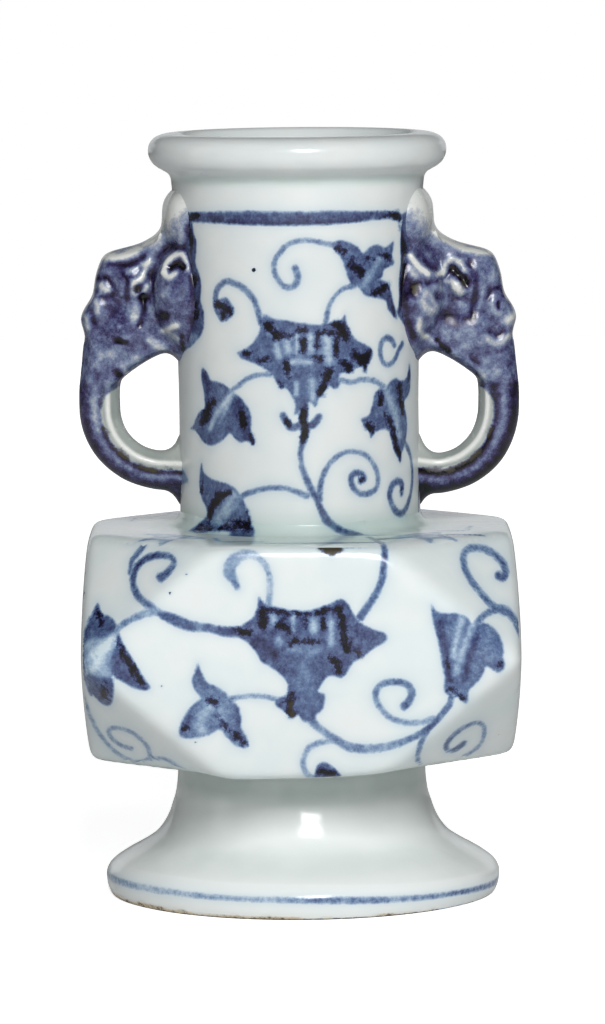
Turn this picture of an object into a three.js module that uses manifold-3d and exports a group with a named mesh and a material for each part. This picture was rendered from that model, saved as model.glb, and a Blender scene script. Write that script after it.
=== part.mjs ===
// A small square flower vase in blue and white porcelain, in millimetres, +Z up.
// It is built as a potter builds it: a thrown foot, a faceted body of slabs mitred and luted
// with slip, a thrown neck with a rolled lip, and two moulded elephant head handles whose
// rolled trunks curl back to the neck.
// The origin is the centre of the foot ring's resting plane. The front faces -Y, and the
// handles lie along X.
import * as THREE from "three";
import { mergeVertices } from "three/addons/utils/BufferGeometryUtils.js";
import Module from "manifold-3d";

const wasm = await Module();
wasm.setup();

// Whole vase
const vaseHeight = 161.2;
const roundSegments = 48; // steps round the thrown pieces
const slipGap = 0.3; // the slip between two luted pieces that don't meet on a level plane

// Foot, thrown, hollow and flared
const footHeight = 30.2;
const footTopRadius = 26.4;
const footRimRadius = 41.8;
const footRimHeight = 6.8; // top of the foot's rounded edge
const footBottomRadius = 40.6;
const footBoreRadius = 22;
const footRingWidth = 4; // the bare ring that the vase stands on
const footRoofHeight = 12; // where the hollow's flare runs out into its bore
// The foot's curves, as shares of its flare, of its height over the edge, and of the edge
const footStemShare = 0.66; // how far down the stem stays nearly upright
const footSweep = { out: 0.4, up: 0.2 }; // where the sweep to the edge begins to level
const footShelfShare = 0.06; // how far the sweep stops short of the widest ring
const footBulge = { out: 0.03, high: 0.75, low: 0.3 }; // the rounding of the edge
const footHollow = { out: 0.25, low: 0.45, high: 0.6, rise: 0.2 }; // the hollow's own flare
const footCurveSteps = 8;
const hollowCurveSteps = 6;

// Body, a squared block whose eight corners are cut back to triangles
const bodyWidth = 90.4;
const bodyHeight = 48.4;
const bodyWall = 5;
const cornerCut = 29.5; // how far each corner triangle reaches along a level edge
const uprightEdge = 2; // what the triangles leave of each upright edge
const edgeRound = 3; // radius of the body's softened edges

// Neck, thrown, with a rolled lip
const neckWaistRadius = 25.5;
const neckFlare = 1; // how much wider the neck is at its top
const neckWall = 4;
const neckFillet = 3; // where the neck's clay is wiped onto the shoulder
const lipOverhang = 4.95; // how far the lip stands out from the top of the neck
const lipRollRadius = 3.85;
const lipRollDrop = 3.33; // how far under its centre the roll turns into the cove
const lipInset = 6.05; // from the lip's widest ring in to its highest
const lipInnerRound = 1.5;
const lipFunnelDepth = 12; // over which the mouth narrows to the bore
const coveHeight = 3.4; // the hollow under the lip
// The neck's flare starts at one share of its height and of its width, and ends at the other
const neckBow = { start: 0.5, out: 0.6, end: 0.8 };
const coveBend = 0.4; // share of the cove's height over which it turns out
const funnelBend = 0.5; // share of the funnel's depth at which it meets the line of the bore
const neckCurveSteps = 5;
const mouthCurveSteps = 4;

// Handles: heights over the shoulder, reach out of the neck's wall
const handleFootHeight = 7; // underside of the trunk, where it meets the neck
const handleDrop = 1.6; // from the foot of the cove down to the top of the head
const handleReach = 21.3;
const headThickness = 12;
const headEdge = 1.9; // rounding of the head's outline
const headEdgeSteps = 3;
// The head's plan as shares of its thickness, and the share of the reach at which it narrows
const headPlanShares = { atNeck: 0.55, atTrunk: 0.38, narrowsFrom: 0.35 };
const swellingSeat = 0.25; // where the swellings are centred, as a share of the thickness
const swellingSides = 12;
const swellingRings = 8;
const trunkThickness = 8.8;
const trunkSides = 12;
const trunkSteps = 18;
const headJointShare = 0.385; // of the handle's height, where head and trunk are luted
const embed = 3; // how far a handle's raw clay runs into the neck before it is cut to it

// Tolerances of the geometry itself
const weldDistance = 1e-4; // vertices closer than this are one
const samePlace = 1e-3; // points closer than this are one
const behindPlane = 1e-5; // a corner this far in front of a plane still counts as behind it
const parallelLimit = 1e-6; // directions whose products are under this are parallel
const sameDirection = 1e-4; // planes whose directions differ by less lie on each other

const neckTopRadius = neckWaistRadius + neckFlare;
const neckBoreRadius = neckWaistRadius - neckWall;
const lipRadius = neckTopRadius + lipOverhang;
const lipRidgeRadius = lipRadius - lipInset;
const bodyBottom = footHeight;
const bodyTop = bodyBottom + bodyHeight;
const lipCentreRadius = lipRadius - lipRollRadius;
const lipCentreHeight = vaseHeight - lipRollRadius;
const lipRollEnd = -Math.asin(lipRollDrop / lipRollRadius);
const coveTop = new THREE.Vector2(
  lipCentreRadius + lipRollRadius * Math.cos(lipRollEnd),
  lipCentreHeight + lipRollRadius * Math.sin(lipRollEnd),
);
const coveFoot = coveTop.y - coveHeight;
const handleBottom = bodyTop + handleFootHeight;
const handleHeight = coveFoot - handleDrop - handleBottom;

const whiteGlaze = new THREE.MeshStandardMaterial({ color: 0xdfe6e2, roughness: 0.12, metalness: 0 });
const blueGlaze = new THREE.MeshStandardMaterial({ color: 0x5a6394, roughness: 0.15, metalness: 0 });

// A closed geometry as a solid that can be cut and joined.
function toSolid(geometry) {
  const bare = geometry.index ? geometry.toNonIndexed() : geometry.clone();
  const merged = mergeVertices(
    new THREE.BufferGeometry().setAttribute("position", bare.getAttribute("position")),
    weldDistance,
  );
  return new wasm.Manifold(
    new wasm.Mesh({
      numProp: 3,
      vertProperties: merged.attributes.position.array,
      triVerts: new Uint32Array(merged.index.array),
    }),
  );
}

// The solid's surface as a geometry with flat faces.
function toGeometry(solid) {
  const mesh = solid.getMesh();
  const geometry = new THREE.BufferGeometry();
  geometry.setAttribute("position", new THREE.BufferAttribute(new Float32Array(mesh.vertProperties), 3));
  geometry.setIndex(new THREE.BufferAttribute(new Uint32Array(mesh.triVerts), 1));
  const flat = geometry.toNonIndexed();
  flat.computeVertexNormals();
  return flat;
}

function named(name, geometry, material) {
  const mesh = new THREE.Mesh(geometry, material);
  mesh.name = name;
  return mesh;
}

// Turns a closed half section of (radius, height) points about the Z axis.
function turned(points) {
  const geometry = new THREE.LatheGeometry(points, roundSegments);
  geometry.rotateX(Math.PI / 2);
  return geometry;
}

// The points of a path, without the ones that repeat where two of its curves meet.
function outlinePoints(path, divisions) {
  const points = path.getPoints(divisions);
  return points.filter((p, i) => i === 0 || p.distanceTo(points[i - 1]) > samePlace);
}

// Foot

function foot() {
  const flare = footRimRadius - footTopRadius;
  const drop = footHeight - footRimHeight;
  const outside = new THREE.Path();
  outside.moveTo(footTopRadius, footHeight);
  outside.bezierCurveTo(
    footTopRadius, footHeight - footStemShare * drop,
    footTopRadius + footSweep.out * flare, footRimHeight + footSweep.up * drop,
    footRimRadius - footShelfShare * flare, footRimHeight,
  );
  outside.bezierCurveTo(
    footRimRadius + footBulge.out * flare, footBulge.high * footRimHeight,
    footRimRadius, footBulge.low * footRimHeight,
    footBottomRadius, 0,
  );
  const ringInside = footBottomRadius - footRingWidth;
  const inside = new THREE.Path();
  inside.moveTo(ringInside, 0);
  inside.bezierCurveTo(
    ringInside - footHollow.out * (ringInside - footBoreRadius), footHollow.low * footRoofHeight,
    footBoreRadius, footHollow.high * footRoofHeight,
    footBoreRadius, footRoofHeight + footHollow.rise * drop,
  );
  inside.lineTo(footBoreRadius, footHeight);
  const section = [
    ...outlinePoints(outside, footCurveSteps),
    ...outlinePoints(inside, hollowCurveSteps),
  ];
  section.push(section[0].clone());
  return named("foot", turned(section.reverse()), whiteGlaze);
}

// Neck and lip

// The neck's outside from the shoulder up to the middle of the lip's roll, moved out by grow.
function neckOutside(grow) {
  const rise = coveFoot - bodyTop;
  const path = new THREE.Path();
  path.moveTo(neckWaistRadius + neckFillet, bodyTop);
  path.quadraticCurveTo(neckWaistRadius, bodyTop, neckWaistRadius, bodyTop + neckFillet);
  path.bezierCurveTo(
    neckWaistRadius, bodyTop + neckBow.start * rise,
    neckWaistRadius + neckBow.out * neckFlare, bodyTop + neckBow.end * rise,
    neckTopRadius, coveFoot,
  );
  path.quadraticCurveTo(neckTopRadius, coveTop.y - coveBend * coveHeight, coveTop.x, coveTop.y);
  path.absarc(lipCentreRadius, lipCentreHeight, lipRollRadius, lipRollEnd, Math.PI / 2, false);
  return outlinePoints(path, neckCurveSteps).map((p) => new THREE.Vector2(p.x + grow, p.y));
}

function neck() {
  const mouth = new THREE.Path();
  const ridgeEnd = lipRidgeRadius - lipInnerRound;
  mouth.moveTo(lipRidgeRadius, vaseHeight);
  mouth.quadraticCurveTo(ridgeEnd, vaseHeight, ridgeEnd, vaseHeight - lipInnerRound);
  mouth.quadraticCurveTo(
    neckBoreRadius, vaseHeight - funnelBend * lipFunnelDepth,
    neckBoreRadius, vaseHeight - lipFunnelDepth,
  );
  mouth.lineTo(neckBoreRadius, bodyTop);
  const section = [...neckOutside(0), ...outlinePoints(mouth, mouthCurveSteps)];
  section.push(section[0].clone());
  return named("neck", turned(section), whiteGlaze);
}

// The room that the neck takes up, with the slip round it, to cut the handles to.
function neckRoom() {
  const side = neckOutside(slipGap);
  const axis = [new THREE.Vector2(0, side.at(-1).y), new THREE.Vector2(0, side[0].y)];
  return toSolid(turned([axis[1], ...side, axis[0]]));
}

// Body

// Each face of the block: a name, its outward direction and its distance from the centre.
function bodyFaces() {
  const half = bodyWidth / 2;
  const rise = bodyHeight / 2;
  const uprightCut = (bodyHeight - uprightEdge) / 2;
  const faces = [
    { name: "shoulder_slab", out: new THREE.Vector3(0, 0, 1), far: rise },
    { name: "floor_slab", out: new THREE.Vector3(0, 0, -1), far: rise },
  ];
  ["right", "back", "left", "front"].forEach((side, i) => {
    const angle = (i * Math.PI) / 2;
    const out = new THREE.Vector3(Math.round(Math.cos(angle)), Math.round(Math.sin(angle)), 0);
    faces.push({ name: `${side}_wall`, out, far: half });
  });
  for (const [level, up] of [["upper", 1], ["lower", -1]])
    for (const [depth, y] of [["front", -1], ["back", 1]])
      for (const [side, x] of [["left", -1], ["right", 1]]) {
        const out = new THREE.Vector3(x / cornerCut, y / cornerCut, up / uprightCut).normalize();
        const onFace = new THREE.Vector3(x * (half - cornerCut), y * half, up * rise);
        faces.push({ name: `${level}_${depth}_${side}_corner`, out, far: out.dot(onFace) });
      }
  return faces;
}

// The planes that bound the slab of one face: its outside and inside, the mitres to the other
// slabs with half the slip taken off, and the softening of the edges it shares with them.
function slabPlanes(face, faces) {
  const planes = [
    { out: face.out, far: face.far },
    { out: face.out.clone().negate(), far: bodyWall - face.far },
  ];
  for (const other of faces) {
    if (other === face) continue;
    const across = other.out.clone().sub(face.out);
    planes.push({
      out: across.clone().normalize(),
      far: (other.far - face.far) / across.length() - slipGap / 2,
    });
    const between = face.out.clone().add(other.out);
    if (between.length() < parallelLimit) continue;
    const halfTurn = face.out.angleTo(other.out) / 2;
    planes.push({
      out: between.clone().normalize(),
      far: (face.far + other.far) / between.length() - edgeRound * (1 / Math.cos(halfTurn) - 1),
    });
  }
  return planes;
}

// The point where three planes meet, or null where they don't meet in one.
function meetingPoint(a, b, c) {
  const bc = b.out.clone().cross(c.out);
  const volume = a.out.dot(bc);
  if (Math.abs(volume) < parallelLimit) return null;
  return bc
    .multiplyScalar(a.far)
    .add(c.out.clone().cross(a.out).multiplyScalar(b.far))
    .add(a.out.clone().cross(b.out).multiplyScalar(c.far))
    .divideScalar(volume);
}

// The corners of the solid that lies behind every plane.
function solidCorners(planes) {
  const corners = [];
  planes.forEach((a, i) =>
    planes.slice(i + 1).forEach((b, j) =>
      planes.slice(i + j + 2).forEach((c) => {
        const p = meetingPoint(a, b, c);
        if (!p || planes.some((q) => q.out.dot(p) > q.far + behindPlane)) return;
        if (!corners.some((known) => known.distanceTo(p) < samePlace)) corners.push(p);
      }),
    ),
  );
  return corners;
}

// The solid that lies behind every plane, each of its faces a fan of triangles.
function solidBehind(planes) {
  const corners = solidCorners(planes);
  const triangles = [];
  const drawn = [];
  for (const { out, far } of planes) {
    const rim = corners.filter((p) => Math.abs(out.dot(p) - far) < samePlace);
    if (rim.length < 3 || drawn.some((o) => o.angleTo(out) < sameDirection)) continue;
    drawn.push(out);
    const middle = rim.reduce((sum, p) => sum.add(p), new THREE.Vector3()).divideScalar(rim.length);
    const start = rim[0].clone().sub(middle).normalize();
    const side = out.clone().cross(start);
    const turn = (p) => Math.atan2(p.clone().sub(middle).dot(side), p.clone().sub(middle).dot(start));
    rim.sort((p, q) => turn(p) - turn(q));
    for (let k = 1; k < rim.length - 1; k++) triangles.push(rim[0], rim[k], rim[k + 1]);
  }
  return new THREE.BufferGeometry().setFromPoints(triangles);
}

function body() {
  const group = new THREE.Group();
  const faces = bodyFaces();
  const lift = (bodyBottom + bodyTop) / 2;
  for (const face of faces) {
    let slab = solidBehind(slabPlanes(face, faces)).translate(0, 0, lift);
    if (face.name === "shoulder_slab") {
      const hole = new THREE.CylinderGeometry(
        neckBoreRadius, neckBoreRadius, 4 * bodyWall, roundSegments,
      ).rotateX(Math.PI / 2);
      slab = toGeometry(toSolid(slab).subtract(toSolid(hole.translate(0, 0, bodyTop))));
    }
    slab.computeVertexNormals();
    group.add(named(face.name, slab, whiteGlaze));
  }
  return group;
}

// Handles

// A place on the handle, from shares of its reach and height. Y is across the handle.
function onHandle(out, up, y = 0) {
  return new THREE.Vector3(
    neckWaistRadius + out * handleReach, y, handleBottom + up * handleHeight,
  );
}

// The head's side view as shares of the handle's reach and height, one run to each form.
const headRuns = {
  topknot: [[0.03, 0.99], [0.13, 0.965], [0.165, 0.915], [0.175, 0.88]],
  crown: [[0.26, 0.85], [0.45, 0.825], [0.66, 0.807], [0.75, 0.785]],
  brow: [[0.8, 0.745], [0.835, 0.69], [0.865, 0.645]],
  forehead: [[0.93, 0.605], [0.972, 0.565], [0.95, 0.52]],
  trunkRoot: [[0.93, 0.465], [0.945, 0.42], [0.965, 0.33], [0.5, 0.33]],
  jaw: [[0.4, 0.41], [0.24, 0.446], [0.1, 0.46], [0, 0.45]],
};

function headPlate() {
  const shape = new THREE.Shape();
  const points = Object.values(headRuns).flat().map(([out, up]) => onHandle(out, up));
  shape.moveTo(neckWaistRadius - embed, points[0].z);
  points.forEach((p) => shape.lineTo(p.x, p.z));
  shape.lineTo(neckWaistRadius - embed, points.at(-1).z);
  const plate = new THREE.ExtrudeGeometry(shape, {
    depth: headThickness - 2 * headEdge,
    bevelThickness: headEdge,
    bevelSize: headEdge,
    bevelOffset: -headEdge,
    bevelSegments: headEdgeSteps,
  });
  plate.translate(0, 0, headEdge - headThickness / 2);
  return toSolid(plate.rotateX(Math.PI / 2));
}

// The head's plan, which narrows from the neck to the trunk.
function headPlan() {
  const back = neckWaistRadius - embed;
  const front = onHandle(1, 0).x + embed;
  const bend = onHandle(headPlanShares.narrowsFrom, 0).x;
  const wide = headPlanShares.atNeck * headThickness;
  const narrow = headPlanShares.atTrunk * headThickness;
  const plan = new THREE.Shape();
  plan.moveTo(back, -wide);
  plan.lineTo(bend, -wide);
  plan.lineTo(front, -narrow);
  plan.lineTo(front, narrow);
  plan.lineTo(bend, wide);
  plan.lineTo(back, wide);
  const block = new THREE.ExtrudeGeometry(plan, { depth: vaseHeight, bevelEnabled: false });
  return toSolid(block);
}

// The forms pressed into both faces of the head: where each one lies in shares of the handle's
// reach and height, then its half width, half height and how far it stands proud in shares of
// the head's thickness, and its lean.
const swellings = [
  { name: "ear", at: [0.2, 0.63], wide: 0.3, high: 0.53, proud: 0.13, lean: 0.2 },
  { name: "eye", at: [0.44, 0.683], wide: 0.18, high: 0.2, proud: 0.14, lean: -0.2 },
  { name: "temple", at: [0.74, 0.62], wide: 0.17, high: 0.18, proud: 0.05, lean: 0 },
  { name: "cheek", at: [0.52, 0.53], wide: 0.28, high: 0.35, proud: 0.08, lean: 0.6 },
  { name: "jowl", at: [0.13, 0.5], wide: 0.2, high: 0.2, proud: 0.07, lean: 0 },
];

function swelling({ at, wide, high, proud, lean }, face) {
  const deep = swellingSeat * headThickness;
  const dome = new THREE.SphereGeometry(headThickness, swellingSides, swellingRings);
  dome.scale(wide, swellingSeat + proud, high).rotateY(lean);
  const place = onHandle(at[0], at[1], face * deep);
  return toSolid(dome.translate(place.x, place.y, place.z));
}

// A block that takes away all clay of a handle below (-1) or above (1) a height over the shoulder.
function beyond(side, height) {
  const tall = 2 * handleHeight;
  const block = new THREE.BoxGeometry(4 * handleReach, 4 * headThickness, tall);
  return toSolid(block.translate(onHandle(0.5, 0).x, 0, height + (side * tall) / 2));
}

function head(room) {
  const clay = swellings.reduce(
    (whole, form) => whole.add(swelling(form, -1)).add(swelling(form, 1)),
    headPlate().intersect(headPlan()),
  );
  return toGeometry(clay.subtract(room).subtract(beyond(-1, onHandle(0, headJointShare).z)));
}

// The trunk's centre line as shares of the handle's reach and height, from the head down and
// round to the neck.
const trunkLine = [
  [0.735, 0.44],
  [0.765, 0.34],
  [0.765, 0.25],
  [0.66, 0.16],
  [0.5, 0.105],
  [0.333, 0.075],
  [0.07, 0.066],
];

function trunk(room) {
  const points = trunkLine.map(([out, up]) => onHandle(out, up));
  const last = points.at(-1);
  points.push(new THREE.Vector3(neckWaistRadius - embed, 0, last.z));
  const line = new THREE.CatmullRomCurve3(points);
  const section = new THREE.Shape();
  section.absellipse(0, 0, trunkThickness / 2, trunkThickness / 2, 0, 2 * Math.PI);
  const rod = new THREE.ExtrudeGeometry(section, {
    steps: trunkSteps,
    curveSegments: trunkSides / 2,
    extrudePath: line,
  });
  const joint = onHandle(0, headJointShare).z - slipGap;
  return toGeometry(toSolid(rod).subtract(room).subtract(beyond(1, joint)));
}

// One handle on each side, the left one the right one turned half round the vase.
function handles() {
  const group = new THREE.Group();
  const room = neckRoom();
  const headShape = head(room);
  const trunkShape = trunk(room);
  for (const [side, turn] of [["right", 0], ["left", Math.PI]]) {
    const handle = new THREE.Group();
    handle.add(named(`${side}_elephant_head`, headShape, blueGlaze));
    handle.add(named(`${side}_trunk`, trunkShape, blueGlaze));
    handle.rotation.z = turn;
    group.add(handle);
  }
  return group;
}

const vase = new THREE.Group();
vase.add(foot(), body(), neck(), handles());

export default vase;
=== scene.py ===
"""A square flower vase in blue and white porcelain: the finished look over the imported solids.

Lengths in the shapes below are in millimetres, in the frame of the solids: +Z up, the front
towards -Y, the foot ring on Z = 0. They are turned into metres where a mesh is made.
"""

import math

import bpy
import numpy as np
from mathutils import Matrix, Vector


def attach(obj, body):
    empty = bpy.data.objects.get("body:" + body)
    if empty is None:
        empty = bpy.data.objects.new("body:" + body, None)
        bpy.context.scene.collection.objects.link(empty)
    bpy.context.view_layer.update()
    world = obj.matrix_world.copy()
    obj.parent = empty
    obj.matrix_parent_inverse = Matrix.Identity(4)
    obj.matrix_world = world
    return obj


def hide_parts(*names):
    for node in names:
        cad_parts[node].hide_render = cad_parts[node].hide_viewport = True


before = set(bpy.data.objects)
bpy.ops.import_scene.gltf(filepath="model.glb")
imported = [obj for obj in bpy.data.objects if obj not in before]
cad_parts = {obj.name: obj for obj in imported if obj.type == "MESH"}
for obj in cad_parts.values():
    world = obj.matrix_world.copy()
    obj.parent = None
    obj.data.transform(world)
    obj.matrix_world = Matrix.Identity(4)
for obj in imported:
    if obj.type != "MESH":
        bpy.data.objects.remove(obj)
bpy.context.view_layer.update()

MM = 0.001
TINY = 1e-9

# Sizes of the vase
FOOT_TOP = 30.2
BODY_HALF = 45.2
BODY_RISE = 24.2
BODY_MIDDLE = FOOT_TOP + BODY_RISE
SHOULDER = FOOT_TOP + 2 * BODY_RISE
BODY_WALL = 5.0
CORNER_CUT = 29.5
CORNER_DROP = 23.2
NECK_RADIUS = 25.5
NECK_BORE = 21.5
NECK_WALL_MIDDLE = 23.4
FILLET = 3.0

# How far from a mark its blue can still be felt, and a place that no mark comes near
REACH = 4.0
FAR_OFF = 1000.0
PLAIN_LOAD = 0.5
# Where marks overlap, the one that a point lies deeper in, up to a depth, counts for more
FULL_DEPTH = 0.8
LOAD_BLEND = 0.3
SPECK_SHARPNESS = 4


# Curves


def catmull(points, steps, closed=False):
    """Points along a smooth curve that passes through the given ones, of any dimension."""
    pts = np.array(points, float)
    if closed:
        ring = np.vstack([pts[-1], pts, pts[0], pts[1]])
    else:
        ring = np.vstack([2 * pts[0] - pts[1], pts, 2 * pts[-1] - pts[-2]])
    t = np.linspace(0, 1, steps, endpoint=False)[:, None]
    spans = []
    for a, b, c, d in zip(ring, ring[1:], ring[2:], ring[3:]):
        bend = 2 * a - 5 * b + 4 * c - d
        spans.append(0.5 * (2 * b + (c - a) * t + bend * t**2 + (3 * b - 3 * c + d - a) * t**3))
    curve = np.vstack(spans)
    return curve if closed else np.vstack([curve, pts[-1]])


def drawn(points):
    """A smooth line through three points or more, or the straight line between two."""
    return catmull(points, steps=5) if len(points) > 2 else np.array(points, float)


def smooth(low, high, value):
    """A soft step from 0 to 1."""
    t = np.clip((value - low) / (high - low), 0, 1)
    return t * t * (3 - 2 * t)


def hump(value, middle, width):
    """A soft rise to 1 round a middle."""
    return np.exp(-(((value - middle) / width) ** 2))


def waves(terms, u, v=0.0):
    """Sine waves laid together, each with its size, its rates along u and v, and its start."""
    return sum(size * np.sin(rate_u * u + rate_v * v + start) for size, rate_u, rate_v, start in terms)


def along(curve, at):
    """Distance from each point to an open curve, and how far along it the nearest place lies."""
    start, end = curve[:-1], curve[1:]
    step = end - start
    length = np.maximum((step**2).sum(1), TINY)
    run = np.concatenate([[0], np.cumsum(np.sqrt(length))])
    best = np.full(len(at), np.inf)
    place = np.zeros(len(at))
    for i in range(len(step)):
        rel = at - start[i]
        t = np.clip((rel @ step[i]) / length[i], 0, 1)
        far = ((rel - t[:, None] * step[i]) ** 2).sum(1)
        nearer = far < best
        best[nearer] = far[nearer]
        place[nearer] = (run[i] + t[nearer] * (run[i + 1] - run[i])) / run[-1]
    return np.sqrt(best), place


def enclosed(outline, at):
    """Which points lie inside a closed outline."""
    inside = np.zeros(len(at), bool)
    x, y = at.T
    for (x0, y0), (x1, y1) in zip(outline, np.roll(outline, -1, axis=0)):
        if y0 == y1:
            continue
        crosses = (y0 > y) != (y1 > y)
        inside ^= crosses & (x < (x1 - x0) * (y - y0) / (y1 - y0) + x0)
    return inside


# Brushwork


def depth(far, half):
    """How far inside the edge of a line a place lies, given its distance from the middle."""
    return np.where(far < half, (half**2 - far**2) / (2 * half), half - far)


class Sheet:
    """What is painted on one surface, laid out flat in millimetres. Each point holds how far
    inside the edge of a mark it lies, how much cobalt the marks near it carry, and how far it
    lies inside the patches that burnt black and the ones that rusted brown."""

    def __init__(self, at):
        self.at = at
        count = len(at)
        self.edge = np.full(count, -REACH)
        self.weight = np.zeros(count)
        self.weighted = np.zeros(count)
        self.shade = np.zeros(count)
        self.burnt = np.full(count, -REACH)
        self.rust = np.full(count, -REACH)

    def near(self, curve):
        low = curve.min(0) - REACH
        high = curve.max(0) + REACH
        return np.where(((self.at > low) & (self.at < high)).all(1))[0]

    def merge(self, index, inside, load):
        self.edge[index] = np.maximum(self.edge[index], inside)
        weight = np.exp(np.clip(inside, -REACH, FULL_DEPTH) / LOAD_BLEND)
        self.weight[index] += weight
        self.weighted[index] += weight * load

    def stroke(self, points, widths):
        """Which points a stroke comes near, how far they are from its middle, its half width
        there, and how far along it they are."""
        curve = drawn(points)
        index = self.near(curve)
        far, place = along(curve, self.at[index])
        widths = np.atleast_1d(widths)
        return index, far, 0.5 * np.interp(place, np.linspace(0, 1, len(widths)), widths), place

    def brush(self, points, widths=1.0, load=PLAIN_LOAD):
        """A line of the brush. Widths and loads are spread evenly along it."""
        index, far, half, place = self.stroke(points, widths)
        loads = np.atleast_1d(load)
        self.merge(index, depth(far, half), np.interp(place, np.linspace(0, 1, len(loads)), loads))

    def fill(self, points, load):
        """A filled shape with a curved outline."""
        outline = catmull(points, steps=4, closed=True)
        index = self.near(outline)
        far, _ = along(np.vstack([outline, outline[0]]), self.at[index])
        inside = np.where(enclosed(outline, self.at[index]), far, -far)
        self.merge(index, inside, load)

    def tone(self, points, widths, amount):
        """A soft streak of more or less blue inside the marks."""
        index, far, half, _ = self.stroke(points, widths)
        self.shade[index] += amount * hump(far, 0, half)

    def burn(self, points, widths):
        """A streak where the cobalt was heaped and burnt black."""
        index, far, half, _ = self.stroke(points, widths)
        self.burnt[index] = np.maximum(self.burnt[index], half - far)

    def stain(self, points, widths):
        """A streak of brown where iron came through."""
        index, far, half, _ = self.stroke(points, widths)
        self.rust[index] = np.maximum(self.rust[index], half - far)

    def speck(self, place, radius):
        """A black speck of iron with a sharp edge."""
        index = self.near(np.array([place]))
        far = np.sqrt(((self.at[index] - place) ** 2).sum(1))
        sharp = SPECK_SHARPNESS * (radius - far)
        self.merge(index, sharp, 1.0)
        self.burnt[index] = np.maximum(self.burnt[index], sharp)

    def floats(self):
        painted = self.weighted / np.maximum(self.weight, TINY)
        load = np.where(self.weight > 0, painted, PLAIN_LOAD) + self.shade
        return {"edge": self.edge, "load": load, "burnt": self.burnt, "rust": self.rust}


def drifted(at, size, reach):
    """The same drawing by another hand: shifted a little here and there, but not at its ends."""
    u, v = at.T
    hold = np.clip(1 - (u / reach) ** 4, 0, 1) * size
    over = hold * waves([(1, 0.09, 0.13, size), (0.5, 0.23, 0, 2)], u, v)
    up = hold * waves([(1, 0.12, 0, 1.7 * size), (0.4, 0, 0.21, 0.5)], u, v)
    return np.stack([u + over, v + up], -1)


# The painting of the neck, unrolled: across from its front, and up from the shoulder


def paint_band(sheet):
    """The blue band under the lip, which runs into the handles."""
    sheet.brush([
        (-27, 65.4), (-20, 65.7), (-10, 65.8), (0, 65.7), (15, 65.9), (20, 65.9), (24.4, 65.2),
    ], [2, 2.4, 3, 2.9, 2.8, 1.9, 1.6], 0.66)
    sheet.tone([(-18, 64.9), (0, 64.6), (14, 64.9)], 1.1, 0.09)
    sheet.tone([(-18, 66.9), (0, 67), (14, 67)], 0.9, -0.12)
    sheet.burn([(20, 65.8), (23.5, 65.6), (24.6, 62.8)], [0.7, 1.9, 1.1])
    sheet.burn([(-23, 66), (-26.6, 65.4), (-27, 64)], [0.7, 1.8, 1])


def paint_neck_top(sheet):
    """The tendril and leaf at the top right, and the tendril on the left with its blot."""
    sheet.brush([
        (7, 60.2), (4, 60.8), (1, 61.2), (-2, 60.4), (-3.6, 58.8), (-4.8, 57), (-5, 55), (-4.3, 53.2),
        (-3.2, 51.8), (-2, 51.4), (-0.6, 52), (-0.1, 53.6), (-0.6, 55.4),
    ], [1, 1, 1, 1.1, 1.5], 0.5)
    sheet.fill([
        (6.6, 60.2), (8.6, 61), (10.6, 60.6), (12.6, 59.6), (14, 58.2), (15.6, 59.4), (17.6, 59.8),
        (20, 59.2), (22.4, 60.2), (22, 57.6), (22.6, 55.6), (19.6, 54.6), (19, 53), (17.6, 52.4),
        (19.6, 52.2), (21.4, 50.6), (22.6, 47.6), (24, 43.8), (21, 46), (20, 48), (17, 48.8), (14.6, 49.4),
        (13, 51), (11.2, 52), (10.2, 54), (9.2, 57), (7.8, 58.8),
    ], 0.6)
    for streak in (
        ([(14, 51.5), (16, 54), (18.5, 57)], 1.8, -0.22), ([(10.4, 59.4), (12, 57)], 1.6, -0.1),
        ([(21, 49), (22, 47), (23, 45.4)], 1.8, 0.18),
    ):
        sheet.tone(*streak)
    for streak in (
        ([(11.4, 56.4), (12.6, 55), (13.6, 54.2)], 1.9), ([(8.2, 59.4), (9.8, 58.4)], 1.2),
        ([(19.2, 57.6), (21.4, 56.8)], 1.3), ([(15, 57.2), (16.8, 56.8)], 0.9),
        ([(16.8, 49.8), (19, 50.4), (20.8, 51.2)], 1.5),
    ):
        sheet.burn(*streak)
    sheet.brush([
        (12, 51.5), (9.5, 51), (7.7, 49.5), (6.4, 47.5), (5.8, 45), (5.6, 43.5),
    ], [1.2, 0.9, 0.9, 1.2], [0.56, 0.5, 0.46, 0.6])
    sheet.brush([
        (-7.8, 44), (-8.4, 46), (-9.2, 48.4), (-10.4, 50), (-12.2, 51.4), (-14, 52.2), (-15.6, 52.5),
        (-17, 52), (-18.4, 50.6), (-19, 48.8), (-18.8, 47.4),
    ], [1.2, 1.3, 1.4, 1.3, 1.5], [0.64, 0.5, 0.5, 0.52])
    sheet.fill([
        (-19.6, 47.2), (-18.6, 45.4), (-17.6, 44.2), (-16, 44.2), (-14.4, 45.6), (-13.9, 46.4),
        (-14.6, 47.8), (-15.8, 49), (-17, 49), (-18, 48.4),
    ], 0.58)
    sheet.burn([(-18.6, 47.6), (-16.6, 47), (-15, 46.2)], 1.7)
    sheet.burn([(-16.8, 46.4), (-16.9, 44.8)], 1.5)
    sheet.speck((-9.3, 55), 0.42)


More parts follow.
